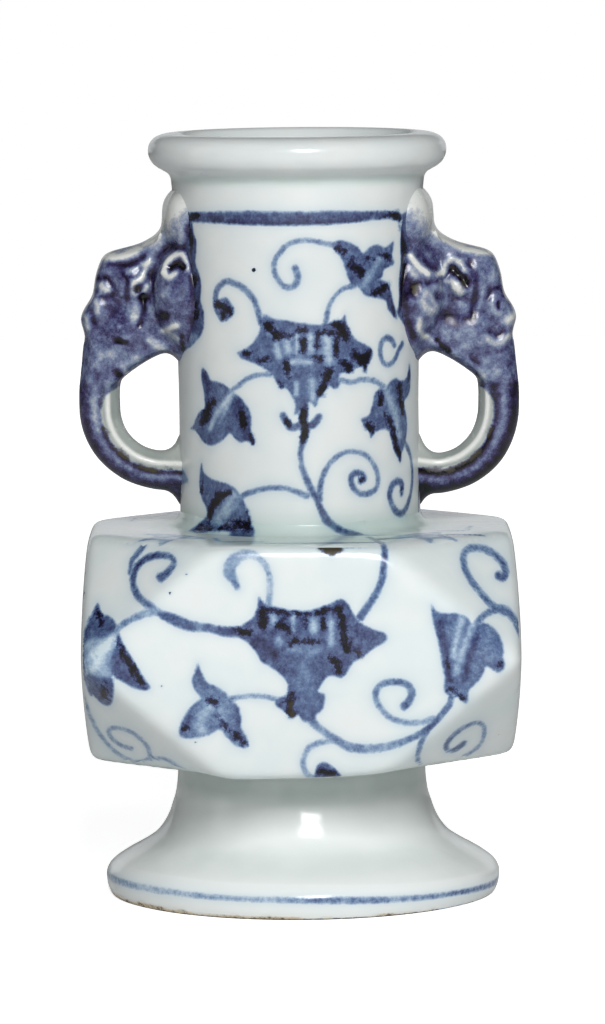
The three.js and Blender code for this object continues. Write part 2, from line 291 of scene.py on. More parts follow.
def paint_neck_lotus(sheet):
    """The lotus seen from the side: a dark cup with a horned rim, spread petals and a calyx."""
    sheet.fill([
        (-7, 45.8), (-5, 44.9), (-2, 44.5), (1, 44), (4, 43.6), (7, 44.2), (9, 44.6), (9.8, 45.6),
        (10.2, 44), (10.8, 42.6), (11.6, 41), (13, 39.9), (15, 38.9), (16.4, 38), (16.2, 36.4), (15.4, 35),
        (14.4, 33.8), (13.8, 34.6), (12, 34.2), (11, 33.4), (9.5, 33.6), (8.4, 33), (8.6, 31), (7.6, 30.2),
        (6.2, 30.8), (5.2, 29.6), (4.2, 28.6), (3.4, 26.6), (2.2, 27.6), (1, 26.4), (-1, 24.9), (-0.8, 27),
        (-1.6, 29), (-2.6, 30.4), (-3.8, 30.4), (-4.6, 31.6), (-5.6, 33.2), (-7.4, 34.6), (-9.6, 35.6),
        (-12, 36.4), (-13.4, 37.6), (-12, 38.4), (-10, 39.6), (-8.8, 41.2), (-8, 43), (-7.6, 44.6),
    ], 0.58)
    for streak in (
        ([(-2.4, 40.8), (-2.3, 38.2)], 1.9, -0.34), ([(-0.4, 41.8), (-0.4, 37.8)], 0.9, -0.34),
        ([(2.4, 41.2), (2.5, 38.2)], 1.6, -0.34), ([(6, 40.6), (6.1, 36.4)], 2.5, -0.34),
        ([(-1.4, 36), (2.4, 36)], 1.3, -0.34), ([(-0.6, 31.6), (-0.6, 29.2)], 1, -0.34),
        ([(2.6, 32), (2.8, 28.4)], 1.5, -0.34), ([(-4.6, 39.4), (-4.2, 37.2)], 1.4, -0.34),
    ):
        sheet.tone(*streak)
    for streak in (
        ([(-6.3, 43.4), (-5.2, 42.2), (-4.4, 41.2)], 1.9), ([(-4.3, 41.6), (-2, 41.2)], 1.3),
        ([(0, 42.5), (1.6, 42.4)], 0.9), ([(0.9, 40.4), (0.9, 38.4)], 1.5),
        ([(3.9, 41.4), (3.8, 39.2)], 1.1), ([(3.2, 36.6), (4.8, 36.6)], 1), ([(5.4, 42), (8, 41.8)], 1.4),
        ([(7.8, 43.6), (9.4, 42.6), (9.8, 41.2)], 2.1), ([(7.9, 41), (7.8, 37)], 1.1),
        ([(9.6, 35.6), (11, 34.2)], 1.9), ([(12, 37), (13.8, 36.2), (15.4, 37)], [2.2, 3, 1.9]),
        ([(14.4, 35.4), (14.4, 33.9)], 1.1), ([(-8, 35.9), (-6.8, 36.6)], 1.3),
        ([(6.4, 34), (5.4, 31.6), (4.6, 29.6)], 1.8), ([(-2.4, 33.2), (-2.4, 35.4)], 1.3),
        ([(-3.6, 31), (-3.5, 30.7)], 0.8), ([(-11.6, 37.6), (-10.4, 37.8)], 0.9),
    ):
        sheet.burn(*streak)
    # The calyx, and the stem that runs down to the shoulder
    sheet.brush([
        (1.2, 29.5), (1, 26.5), (0.8, 24), (1.2, 21.5), (0.6, 19), (0.2, 17),
    ], [1.3, 1.7, 1.9, 1.9, 1.4, 1], [0.7, 0.8, 0.84, 0.8, 0.66])
    sheet.brush([(0.2, 22.8), (-1.6, 22.4), (-2.6, 23.4), (-3.4, 24.8)], [1.4, 1.7, 1.3], 0.66)
    sheet.brush([(1.8, 22.6), (2.8, 22.9), (3.8, 24), (4.1, 24.5)], [1.4, 1.7, 1.3], 0.66)
    for streak in (
        ([(0.9, 25.4), (0.8, 23.4)], 1.4), ([(1.1, 21.6), (0.9, 20)], 1.3),
        ([(-2, 22.8), (-2.8, 23.8)], 0.9),
    ):
        sheet.burn(*streak)
    sheet.brush([
        (0.2, 17), (0.4, 14.5), (1.2, 12), (2.2, 9.6), (3.6, 7), (4.4, 5), (5.6, 2.8), (7.4, 1.3), (9, 0.4),
        (12, -0.6), (14.5, -2.8),
    ], [1, 1.2, 1.4, 1.3, 1.7, 1.5, 1.2, 1.1], [0.54, 0.56, 0.6, 0.6, 0.64, 0.6])


def paint_neck_left(sheet):
    """The two leaves on the left of the stem."""
    sheet.fill([
        (-23.4, 34), (-21.8, 33.4), (-20.6, 31.6), (-18.6, 31.4), (-16.6, 30.8), (-14.8, 29.6), (-13, 28.6),
        (-11.6, 27.2), (-10.6, 25.6), (-10.2, 23.4), (-10.4, 21.6), (-9.8, 20), (-9.6, 18.8), (-10.2, 18.6),
        (-11.2, 19.4), (-13, 19), (-14.6, 20.2), (-15.6, 20.8), (-17, 19.6), (-19, 18.4), (-21, 18),
        (-23.4, 18.6), (-25.2, 20), (-26.6, 20.8), (-28.6, 21), (-27, 22), (-26, 23.4), (-24.4, 24.8),
        (-22.8, 25.8), (-22.8, 27.8), (-23.2, 30), (-23.8, 32),
    ], 0.6)
    for streak in (
        ([(-15, 29), (-17.4, 26.4), (-19.5, 24), (-21, 21.5)], [1.4, 2, 1.4], -0.36),
        ([(-15.2, 27.5), (-16.6, 25.2), (-18, 23)], 1, -0.2),
        ([(-14, 27), (-12, 24), (-11.4, 21)], 2.6, 0.12), ([(-22.4, 32.6), (-21.4, 29.6)], 1.4, 0.16),
    ):
        sheet.tone(*streak)
    for streak in (
        ([(-20, 27.4), (-22, 24.6), (-24, 22.2)], [1.2, 2.4, 1.6]), ([(-12.6, 25.4), (-12.2, 23)], 1.3),
        ([(-10.2, 20.6), (-10, 19.2)], 0.8),
    ):
        sheet.burn(*streak)
    sheet.brush([(-15, 29.6), (-13, 31), (-11, 32.4), (-8.6, 33.2), (-6, 33.4)], 1, 0.46)
    sheet.fill([
        (-24.2, 14.2), (-23.4, 12.4), (-21.6, 11.2), (-19, 10.6), (-16.4, 10.3), (-14.4, 9.4), (-12.6, 7.6),
        (-11.4, 5), (-10.6, 2.6), (-9.6, 1), (-9, -0.6), (-11.4, -0.9), (-13.6, -0.6), (-15, 0.4),
        (-18, 0.2), (-21, -0.2), (-23.6, -0.2), (-25.6, 0.2), (-24.2, 1.6), (-22.6, 3), (-22.4, 4.6),
        (-24, 6.4), (-25, 8.6), (-25, 11),
    ], 0.6)
    sheet.tone([(-14.4, 8), (-17, 4.6), (-19, 2.4)], 2.8, -0.26)
    sheet.tone([(-13.6, 6), (-16.5, 3.4)], 1.2, -0.2)
    for streak in (
        ([(-15.6, 8.6), (-19, 6.8), (-21, 4.4), (-21.4, 1.8)], [1, 1.9, 1.8, 1.2]),
        ([(-24, 9.6), (-24.2, 8)], 1), ([(-24, 0.8), (-20, 0.6)], 0.8),
        ([(-11, 1.6), (-14.4, 1.8), (-17.6, 1)], [1.8, 1.8, 0.9]), ([(-11.3, 4.6), (-10.7, 2.4)], 0.9),
    ):
        sheet.burn(*streak)
    sheet.brush([
        (1.5, 8), (-1, 9), (-3.6, 9.7), (-7, 9.6), (-10, 8.8), (-12.6, 7.8),
    ], [1.3, 1, 1.1, 1.1, 1.2], 0.5)


def paint_neck_right(sheet):
    """The spiral, the slim curl and the leaf on the right of the stem, and the curl by the handle."""
    sheet.brush([
        (4, 7), (4.2, 10), (5.2, 13), (7, 15.4), (9.4, 16.8), (12, 16.9), (14.6, 16), (16.6, 14),
        (17.6, 11.6), (17.4, 9.4), (15.8, 8.2), (13.6, 8), (11.8, 9), (11, 10.8), (11.4, 12.2), (13, 12.4),
        (14, 11.4), (13.2, 10.8),
    ], [1.3, 1, 1, 1.1, 1.2, 1.3, 1.5], [0.6, 0.46, 0.5, 0.54, 0.6])
    sheet.burn([(13.4, 11.2), (13.2, 10.8)], 1.2)
    sheet.brush([
        (26.6, 18), (28.4, 16.4), (30, 13.6), (30.4, 10.4), (29.6, 7.4), (28, 5), (25.8, 3.2), (23.6, 3.4),
        (21.8, 5), (21, 7.4), (22, 9.4), (24, 9.9), (25.4, 9), (25.2, 7.4),
    ], [1.3, 1.4, 1.5, 1.6, 1.6], 0.56)
    sheet.burn([(25.1, 7.8), (25, 7.3)], 1.1)
    sheet.fill([
        (20, 29.6), (21.4, 31), (23.4, 31.6), (25, 31), (26.8, 31), (28.2, 32), (29, 34.2), (29.8, 33.6),
        (30, 31), (29.6, 28.8), (28.4, 27.4), (27, 26.8), (27, 25.4), (28, 22.8), (28, 20), (27, 17.6),
        (25.6, 15.6), (25, 13.8), (24, 14.8), (22.8, 16.4), (22, 18.4), (21.2, 20.4), (20, 21.2), (18, 21),
        (16.8, 20.4), (16, 19.6), (15.4, 21), (14.2, 22.4), (13.4, 23.6), (14.6, 24), (15.6, 24.6),
        (16.4, 26.8), (17, 28.8), (18.6, 29.8),
    ], 0.6)
    sheet.tone([(20.4, 28.6), (22.6, 25.4), (24, 22), (24.6, 19.4)], 2.4, -0.3)
    for streak in (
        ([(20, 24.4), (22, 21.6), (23.6, 17.6), (24.8, 14.8)], [1.1, 1.7, 1.7, 1]),
        ([(24.8, 30), (25.4, 27), (26.2, 24.4)], [1.3, 1.9, 1.2]), ([(18.6, 28.2), (18.4, 26.8)], 1.5),
        ([(15, 22.2), (16.4, 21.6)], 1.6), ([(28.9, 32.4), (29.1, 30.8)], 0.9),
    ):
        sheet.burn(*streak)
    sheet.brush([(9, 32), (11, 31.5), (14, 31.9), (17, 31.4), (19.6, 30)], [1, 1.1, 1.2], 0.47)
    sheet.brush([
        (26, 38.6), (24.6, 37.4), (23.4, 35.8), (22, 34.8), (20.6, 34.6), (19.2, 35.4), (18.6, 37),
        (18.6, 38.6), (19.6, 40), (21, 40.2), (22.4, 39.4), (23, 38.6),
    ], [1.3, 1.1, 1.2, 1.4], 0.54)


def paint_neck_coat(sheet):
    """The blue of the handles, which runs on to the neck with a ragged edge."""
    sheet.fill([
        (-40, 66), (-30, 66.6), (-26.2, 66), (-25.6, 64.5), (-25, 62), (-24.3, 60.5), (-24.5, 58.5),
        (-25, 56), (-24, 54), (-23.3, 52), (-23.4, 50), (-23.6, 48), (-22.6, 46), (-22.6, 43), (-23.6, 41),
        (-26, 39.2), (-30, 37.6), (-40, 36),
    ], 0.66)
    sheet.fill([
        (40, 66), (30, 66.4), (25.6, 66), (25.2, 65), (24.8, 60), (25, 56), (24.4, 52), (24.6, 48),
        (24.2, 46), (24, 45), (25.6, 43.5), (28, 41.5), (30, 38.6), (34, 37), (40, 36),
    ], 0.62)
    for streak in (
        ([(-34, 67.4), (-28.6, 67.4)], 3.4, -0.3), ([(34, 67.4), (28, 67.4)], 3.4, -0.3),
        ([(-27, 58), (-26.6, 48), (-26, 42)], 2, 0.12),
    ):
        sheet.tone(*streak)
    for streak in (
        ([(-26.5, 62), (-26.4, 59.4)], 1.7), ([(-25.5, 53.2), (-25.4, 51.8)], 1.4),
        ([(-25.2, 47), (-25.1, 45)], 1.8), ([(26.6, 54.6), (26.2, 50)], 1.9), ([(27, 49), (27, 44.2)], 1.7),
        ([(26.4, 59.4), (26.8, 57.6)], 1.9),
    ):
        sheet.burn(*streak)
    for streak in (
        ([(-30, 40), (-26, 40)], 3.2, -0.2), ([(30, 41), (32, 37)], 4.6, -0.3),
        ([(25.4, 62), (25.7, 56), (25.5, 50), (25, 46)], 1.6, 0.2),
    ):
        sheet.tone(*streak)
    # The faint end of each trunk's coat
    sheet.brush([(-38, 10.4), (-34, 10.4), (-31, 10)], [4.5, 3.4, 1.6], [0.6, 0.44, 0.3])
    sheet.brush([(40, 9.6), (37, 8.6), (35.6, 6), (35, 2.6)], [6, 1.6, 1.1, 0.9], [0.6, 0.8, 0.8, 0.66])


def paint_neck(sheet):
    paint_band(sheet)
    paint_neck_top(sheet)
    paint_neck_lotus(sheet)
    paint_neck_left(sheet)
    paint_neck_right(sheet)
    paint_neck_coat(sheet)


def neck_sheet(around, up):
    """The front of the neck as photographed, and at the back the same scroll by another hand."""
    front = np.stack([NECK_RADIUS * around, up], -1)
    opposite = np.where(around > 0, around - math.pi, around + math.pi)
    back = np.stack([-NECK_RADIUS * opposite, up], -1)
    back = drifted(back, size=1.1, reach=NECK_RADIUS * math.pi / 2)
    at_back = np.abs(around) > math.pi / 2
    sheet = Sheet(np.where(at_back[:, None], back, front))
    paint_neck(sheet)
    return sheet


# The painting of the body, from the middle of each side


def paint_body_lotus(sheet):
    """The larger lotus of the body, with a pale crown over a dark cup and calyx."""
    sheet.fill([
        (-8.6, 12.6), (-7.4, 11.2), (-5, 10.6), (-2, 10), (1, 10), (4, 10.8), (6.4, 11.8), (8, 12.6),
        (9.4, 12), (10.6, 10), (11.6, 8.4), (13, 7.4), (15, 6.6), (17.4, 5.6), (17.4, 4.2), (15.4, 3),
        (14, 2), (13, 1), (11.6, 0.4), (10.4, -0.6), (9.4, -2.4), (8.2, -3.6), (6.4, -3.2), (5, -3.6),
        (4, -5.2), (3.4, -6.6), (4.6, -7), (4.8, -8.4), (4, -10.6), (3, -11.4), (2.6, -12.6), (0.4, -13),
        (-0.6, -11.6), (-1.4, -12), (-2.4, -12.2), (-3.4, -11), (-5.4, -9.6), (-5, -8.2), (-3.2, -7.6),
        (-2.8, -5.4), (-4, -3.6), (-6, -2), (-8.2, -0.6), (-9.4, 1.4), (-11, 3.2), (-13, 4.4), (-14.6, 5),
        (-12, 6.8), (-10, 8.2), (-9, 10),
    ], 0.64)
    for streak in (
        ([(-5.8, 9), (-5.6, 7.6)], 1.6, -0.36), ([(-1.7, 9), (-1.7, 5.8)], 1.4, -0.36),
        ([(2.4, 8.6), (2.6, 6)], 2, -0.36), ([(6.2, 7.8), (6.2, 3.4)], 1.7, -0.36),
        ([(-4.6, 4), (-4.2, 3.2)], 1.4, -0.3), ([(-2.6, 2), (3.6, 1.8)], 2, -0.18),
        ([(0.6, -1), (0.6, -6)], 4, -0.14), ([(-11, 4.8), (-9, 2)], 1.6, 0.1),
        ([(-8, 3.4), (-5.4, 0.6)], 1.8, 0.16), ([(-4.6, -8.8), (3.6, -9)], 3, -0.06),
    ):
        sheet.tone(*streak)
    for streak in (
        ([(-7.8, 9.6), (-7.8, 6.8)], 1.7), ([(-7, 9.9), (-3, 9.4), (1, 9.2), (5, 10), (7.6, 10.6)], 0.9),
        ([(-4.4, 7), (-2.6, 6)], 1.5), ([(5.2, 10.5), (7.8, 10.5)], 1),
        ([(7.8, 10.6), (8.4, 8), (9, 5), (9.4, 2.4)], 1.3), ([(6.2, 0.4), (7.2, -0.2)], 1.3),
        ([(7.6, -1.6), (7.5, -2.4)], 1.2), ([(-2, 2.6), (-1.6, 3.6), (0, 3.7), (3.6, 3.6)], 0.8),
        ([(0.8, 8), (0.8, 6.8)], 0.8), ([(4.6, 8.4), (4.6, 6.8)], 1), ([(-12.6, 5.6), (-10.4, 5.4)], 1),
        ([(-2.4, -7.8), (-2.3, -11.6)], 1.5), ([(11.6, 1.8), (12, 1.2)], 1),
    ):
        sheet.burn(*streak)
    sheet.stain([(11.6, 1.8), (12.4, 1)], 1.2)
    sheet.stain([(-2.2, -9.4), (-2, -11.8)], 1.2)


def paint_body_stems(sheet):
    """The stem under the lotus with its curl and loop, and the pale curl over the lotus."""
    sheet.brush([
        (0.8, -11), (2.4, -13.2), (5, -15.2), (8, -17), (10.5, -17.9), (15, -18), (19, -17.3), (23, -15.8),
        (25.5, -14.4), (27.4, -12.6), (29, -10.8), (30.3, -9), (30.8, -7.6),
    ], [2.2, 1.6, 1.6, 1.8, 1.7, 1.4, 1.3, 1.3, 1.2], [0.5, 0.42, 0.5, 0.4, 0.42, 0.54, 0.5, 0.54])
    sheet.brush([
        (27, -12), (24, -12.8), (20.5, -12.6), (17.6, -11.2), (15.6, -8.6), (15.2, -6.6), (16.4, -4.8),
        (19, -4.2), (21.6, -4.8), (22.6, -6.4), (22.2, -8), (21, -9.4),
    ], [1.2, 1.2, 1.3, 1.6], [0.36, 0.42, 0.5, 0.6])
    sheet.brush([
        (6, -16.6), (3, -17.4), (1, -18.8), (0.2, -21), (1, -23), (2.4, -24.2),
    ], [1.1, 1.1, 1.2], 0.4)
    sheet.fill([
        (3, -21.6), (4.4, -20.8), (6, -21.4), (7.4, -22.6), (8, -24), (5, -24.6), (2.6, -24.3),
    ], 0.66)
    sheet.burn([(4, -22.4), (6, -22.8)], 1.3)
    sheet.brush([
        (-6.6, 11), (-6.3, 14), (-6.4, 17), (-7.6, 19.6), (-9.8, 21.2), (-12.2, 21), (-14.2, 19.4),
        (-14.6, 17.6), (-13.6, 16), (-13, 14.6),
    ], [1.3, 1.3, 1.3, 1.4, 1.8, 2.7, 2.4, 1.2], [0.34, 0.3, 0.32, 0.36, 0.44])


def paint_left_leaf(sheet):
    """The leaf at the left edge: dark lobes round a pale middle."""
    sheet.fill([
        (-42, 10.4), (-41, 8.6), (-39, 8), (-37.8, 6.4), (-38.6, 4.8), (-40, 3.8), (-42.4, 3.2),
        (-44.4, 3.4), (-44.6, 5), (-43.4, 7.4),
    ], 0.62)
    sheet.fill([
        (-44.4, 3.6), (-42.6, 4.6), (-39.6, 5), (-38, 3), (-38.6, 0), (-38.4, -3), (-40.4, -4.4),
        (-43.6, -3.6), (-44.4, 0),
    ], 0.3)
    sheet.fill([
        (-44.2, -3.4), (-42, -3), (-39, -3.6), (-38.6, -6.4), (-39.2, -9.6), (-41, -10), (-43.2, -7.6),
        (-44.2, -5),
    ], 0.62)
    sheet.brush([(-43.4, 7.4), (-44.5, 3.6), (-44.7, 0), (-44.5, -4), (-43.4, -8)], 0.7, 0.66)
    sheet.fill([
        (-37.6, 5.6), (-36.4, 3), (-34.6, 0), (-32.6, -3.4), (-31, -5.8), (-32.4, -6.4), (-34.6, -5.8),
        (-36.6, -4.6), (-38.4, -3.6), (-40.4, -1.2), (-39, 1), (-38, 3.4),
    ], 0.66)
    for streak in (
        ([(-37, 2.6), (-35, -1.6), (-32.6, -5)], [0.9, 1.4, 1.2]), ([(-41.6, 8.4), (-41.2, 6.8)], 1.2),
        ([(-40.8, -6), (-40.6, -8)], 1.2),
    ):
        sheet.burn(*streak)
    sheet.tone([(-38.6, 4.6), (-40.6, 2.6), (-42.6, 0.6)], 1.3, -0.2)
    sheet.tone([(-39, 3.6), (-40.8, 1), (-42.4, -2)], 1.5, -0.2)


def paint_low_leaf(sheet):
    """The leaf under the lotus, on the left, and its stalk."""
    sheet.fill([
        (-21.2, -1), (-20.4, -3), (-19.4, -4.8), (-17.4, -5.8), (-15.6, -7), (-14.4, -8.6), (-13, -10),
        (-12.4, -12.4), (-12.4, -14.2), (-11.4, -16), (-11, -17.8), (-12, -18.4), (-14.2, -17.4),
        (-15.8, -15.8), (-16.8, -14.6), (-18.6, -15.4), (-21, -16.2), (-23.4, -16.4), (-25.2, -15.6),
        (-24.8, -13.2), (-23.6, -11), (-21.8, -9), (-20.6, -8), (-21.8, -6.6), (-22.4, -4.6), (-21.8, -2.6),
    ], 0.52)
    for streak in (
        ([(-19, -10), (-21, -13), (-20, -15)], 2.4, -0.22), ([(-16.4, -9.4), (-16.2, -12)], 1.8, -0.14),
        ([(-21.4, -2.4), (-20.4, -6)], 1.6, 0.06), ([(-24.6, -14.6), (-23, -12)], 2, 0.12),
        ([(-13, -11), (-12.8, -15)], 1.8, 0.1),
    ):
        sheet.tone(*streak)
    for streak in (
        ([(-19, -8.6), (-17.8, -9)], 1.7), ([(-24.2, -14.6), (-23.8, -14)], 1),
        ([(-13.4, -15.8), (-11.9, -17.4)], 1.2), ([(-17, -12), (-15, -15)], 0.8),
    ):
        sheet.burn(*streak)
    sheet.brush([(-14.4, -8.2), (-11.6, -7.9), (-8, -7.9), (-5.4, -8.4)], 1, 0.4)


def paint_right_leaf(sheet):
    """The fan of a leaf on the right, with pale veins."""
    sheet.fill([
        (26.8, 11.6), (27.6, 10.4), (29.4, 9.8), (32, 9.6), (34, 8.8), (35.4, 7.4), (37.4, 7.6),
        (39.6, 6.4), (41, 4.4), (41.6, 2), (41.4, 0.6), (41.8, -1), (40.8, -2.6), (39.6, -2.2), (38, -1.2),
        (37.2, -3), (35.6, -5), (34.4, -6.2), (34, -8.8), (32.6, -8.2), (31.8, -7.2), (30, -7),
        (29.2, -5.8), (29.4, -3.4), (28.8, -0.4), (28.4, 2.6), (27.8, 5.4), (27, 8.4),
    ], 0.55)
    for streak in (
        ([(33, 8.4), (31.6, 4), (31.2, 1)], 1.5, -0.28), ([(35, 7), (33.4, 3), (31.6, -2.5)], 1.6, -0.26),
        ([(38.6, 5.4), (38.4, 1)], 2.6, -0.06), ([(28.4, 8), (29.4, 4), (30, 0), (30.4, -4)], 1.6, 0.18),
        ([(36, 5), (34.4, 0), (33.4, -4)], 1.5, 0.16),
    ):
        sheet.tone(*streak)
    for streak in (
        ([(30.4, -5.6), (31.6, -6.6), (33, -7.6)], 0.9), ([(40.7, -0.7), (40.6, -1.3)], 0.5),
        ([(29.8, 1), (30.1, -1.4)], 0.1),
    ):
        sheet.burn(*streak)


def paint_front(sheet):
    """The front as photographed, with the curls that cross the cut corners."""
    paint_body_lotus(sheet)
    paint_body_stems(sheet)
    paint_left_leaf(sheet)
    paint_low_leaf(sheet)
    paint_right_leaf(sheet)
    # The long stem to the left and its curl, with the small zigzag over it
    sheet.brush([
        (-13, 5.4), (-16, 5.6), (-19, 6.3), (-23, 6.8), (-26, 8), (-28.6, 9.2), (-31, 10.8), (-33.6, 12.6),
        (-34.6, 15.2), (-34, 17.4), (-32.2, 19.2), (-29.6, 20.2), (-27, 20.2), (-26, 19.2), (-27.2, 17.4),
        (-28.8, 16.2),
    ], [2.2, 2, 1.7, 1.9, 2.4, 2.2, 1.6, 1.5, 1.5, 1.3, 1.1, 1.2, 1.2, 1.1, 1, 1.6],
      [0.7, 0.62, 0.52, 0.6, 0.64, 0.5, 0.56, 0.7, 0.74, 0.62, 0.6, 0.66])
    sheet.tone([(-33, 8.8), (-29, 9.8)], 1.8, -0.16)
    sheet.brush([
        (-34.4, 23.4), (-35.9, 22.3), (-33.8, 22.6), (-32.2, 22.2), (-33.4, 20.5), (-34.9, 18.6),
        (-35.2, 16.5),
    ], [0.6, 0.8, 0.9, 0.8], [0.56, 0.66, 0.66])
    sheet.brush([(-30.5, 9.6), (-33.6, 8.6), (-36.4, 7), (-38.4, 5.2), (-40, 3)], [1.6, 1.2, 1.1], 0.46)
    # The thin spiral at the lower left
    sheet.brush([
        (-45.6, -7), (-44.6, -11), (-43.6, -14), (-41.6, -18), (-38.6, -21.4), (-35.6, -22.9), (-33, -22.8),
        (-31.6, -21.4), (-31.9, -19.2), (-33.6, -17), (-36, -15.6), (-38.6, -15.3), (-40, -16.2),
        (-39.4, -18), (-37.6, -19.4), (-35.4, -20),
    ], [0.8, 0.9, 0.9, 1], 0.4)
    sheet.brush([(-31.6, -22), (-29.6, -21.6), (-27.6, -21.8), (-25.4, -23.4), (-23.6, -24.4)], 0.9, 0.4)
    # On the right the stem from the shoulder, the curl, the leaf's stalk and the lower curls
    sheet.brush([
        (17.4, 25), (17.3, 22.6), (17.1, 20), (16.8, 17.4), (15.6, 14.2), (13.8, 11.4), (12.2, 9),
    ], [1.1, 1.3, 1.4, 1.4, 1.5, 1.6], [0.64, 0.6, 0.54, 0.56, 0.6])
    sheet.brush([
        (45.4, 4.4), (44.4, 6.4), (43.6, 8.2), (41.6, 9.2), (39.6, 10.4), (37.4, 12.8), (35, 15.8),
        (33.8, 18.6), (34, 20.8), (36, 21.4), (39, 20.6), (41.6, 18.6), (42.6, 16.6), (42, 15.4),
        (41, 15.8),
    ], [1.1, 1.2, 1.2, 1.4, 1.3, 1.6], [0.5, 0.56, 0.5, 0.5, 0.6])
    sheet.brush([
        (45.4, 5), (44, 7.4), (42, 9.6), (39.6, 9.6), (37.4, 8.8), (35.2, 6.8), (34, 5),
    ], [1.2, 1.4, 1.3, 1.2], 0.5)
    sheet.brush([
        (30.4, -9), (28.6, -11.4), (26.4, -13.6), (24.8, -16.4), (24, -19), (23.9, -21.4), (24.6, -22.8),
    ], [1.3, 1.2, 1.1, 1, 0.9], [0.6, 0.66, 0.54, 0.46])
    sheet.brush([
        (33.4, -22.2), (36.6, -20.2), (37.8, -17.4), (37.6, -15), (36.2, -14), (33.6, -14.6), (31, -16.6),
        (29.8, -18.6), (30.4, -20), (32, -19.8), (33.6, -18.6),
    ], [0.8, 0.9, 1, 1.2], [0.44, 0.46, 0.56, 0.66])
    specks = [((-26.8, 13.4), 0.26), ((-23.4, 17.2), 0.18), ((-28.7, -5.6), 0.18), ((-21.8, -17.2), 0.2)]
    for place, radius in specks:
        sheet.speck(place, radius)
    # Where the glaze broke brown on the edge of the shoulder
    sheet.burn([(4.4, 22.9), (6, 22.5), (8, 22.9)], [0.8, 1.7, 0.8])
    sheet.stain([(4, 22.9), (6, 22.6), (8.4, 23)], [1.8, 2.8, 1.8])
    sheet.brush([(4.2, 22.9), (6.2, 22.4), (8.2, 22.9)], [0.9, 1.9, 0.9], 0.7)
    # A dark line painted along the rounded top edge, standing in for the dark reflection there
    sheet.brush([
        (-14, 23.9), (-4, 23.8), (4, 23.6), (12, 23.7), (18, 23.9),
    ], [0.5, 0.8, 1.1, 0.9, 0.6], [0.6, 0.9, 0.9, 0.7])
    sheet.burn([(-4, 23.8), (4, 23.6), (12, 23.7), (17, 23.9)], [0.4, 0.9, 0.7, 0.3])


def paint_side(sheet):
    """A side that the photo doesn't show: the same lotus and leaves, kept off the cut corners."""
    paint_body_lotus(sheet)
    paint_body_stems(sheet)
    paint_low_leaf(sheet)
    paint_right_leaf(sheet)
    sheet.brush([
        (-13, 5.4), (-19, 6.3), (-25, 7.2), (-30, 9), (-33, 12), (-33.4, 15.6), (-31, 18), (-28, 17.6),
        (-26.8, 15),
    ], [2.2, 1.7, 2.2, 1.6, 1.1], [0.6, 0.5, 0.6, 0.5])


def paint_shoulder(sheet):
    """The flat of the shoulder, seen from above: a pale leaf in each corner and its thin stems."""
    for turn in range(4):
        angle = math.pi * (0.25 + 0.5 * turn)
        way = np.array([math.cos(angle), math.sin(angle)])
        across = np.array([-way[1], way[0]])

        def put(points):
            return [tuple(out * way + over * across) for out, over in points]

        leaf = [(33, -4), (36, -10), (38, -5), (43, -5), (41, -1), (44, 3), (38, 3), (35, 7), (33, 3)]
        sheet.fill(put(leaf), 0.24)
        sheet.tone(put([(33, -1), (38, -2), (42, -4)]), 1.8, 0.12)
        sheet.tone(put([(33, 1), (38, 2), (42, 3)]), 1.8, 0.12)
        sheet.brush(put([(33, 8), (36, 13), (33, 17), (31, 20)]), 1.0, 0.4)
    sheet.brush([(13.4, -26), (14.6, -31), (15.8, -36), (17, -41), (17.4, -46)], [1.1, 1.2, 1.1], 0.6)
    # A soft dark line under the front of the neck, and a thin stem round to the right of it
    sheet.brush([
        (-10, -38), (-3, -39), (4, -39), (11, -38.6), (17, -38),
    ], [0.8, 1.2, 1.8, 1.8, 1.2], [0.4, 0.7, 0.8, 0.8, 0.7])
    sheet.brush([
        (16, -33), (21, -30), (27, -25.7), (33, -23.4), (38, -21.7),
    ], [2.6, 2.2, 1.6, 1], [0.8, 0.8, 0.6])


# Meshes


def placed(name, data):
    """A new object in the scene."""
    thing = bpy.data.objects.new(name, data)
    bpy.context.scene.collection.objects.link(thing)
    return thing


def make_mesh(name, points, faces, floats):
    mesh = bpy.data.meshes.new(name)
    mesh.from_pydata((np.asarray(points) * MM).tolist(), [], faces)
    for key, values in floats.items():
        layer = mesh.attributes.new(key, "FLOAT", "POINT")
        layer.data.foreach_set("value", np.asarray(values, np.float32))
    mesh.polygons.foreach_set("use_smooth", [True] * len(mesh.polygons))
    return placed(name, mesh)


def wrap_faces(rows, columns, close_rows=False):
    """Quads of a grid whose columns run round and, if asked, whose last row joins the first."""
    index = np.arange(rows * columns).reshape(rows, columns)
    upper = np.roll(index, -1, axis=0) if close_rows else index[1:]
    lower = index if close_rows else index[:-1]
    quads = np.stack([lower, np.roll(lower, -1, 1), np.roll(upper, -1, 1), upper], -1)
    return quads.reshape(-1, 4).tolist()


def steps_round(front_step, back_step, radius):
    """Angles from the front (-Y) right round, closer together on the front half."""
    half = math.pi * radius
    front = np.linspace(-math.pi / 2, math.pi / 2, int(half / front_step), endpoint=False)
    back = np.linspace(math.pi / 2, 1.5 * math.pi, int(half / back_step), endpoint=False)
    return np.concatenate([front, back])


def resample(points, step):
    """Points at even steps along a profile of (radius, height)."""
    pts = np.array(points, float)
    run = np.concatenate([[0], np.cumsum(np.sqrt((np.diff(pts, axis=0) ** 2).sum(1)))])
    places = np.linspace(0, run[-1], max(2, int(round(run[-1] / step)) + 1))
    return np.stack([np.interp(places, run, pts[:, 0]), np.interp(places, run, pts[:, 1])], -1)


# The slight unevenness of thrown clay, as waves round the vase and up it
UNEVEN = [(1, 2, 0.03, 0.6), (0.6, 3, -0.05, 2.1), (0.5, 1, 0.11, 0), (0.35, -2, 0.31, 0)]


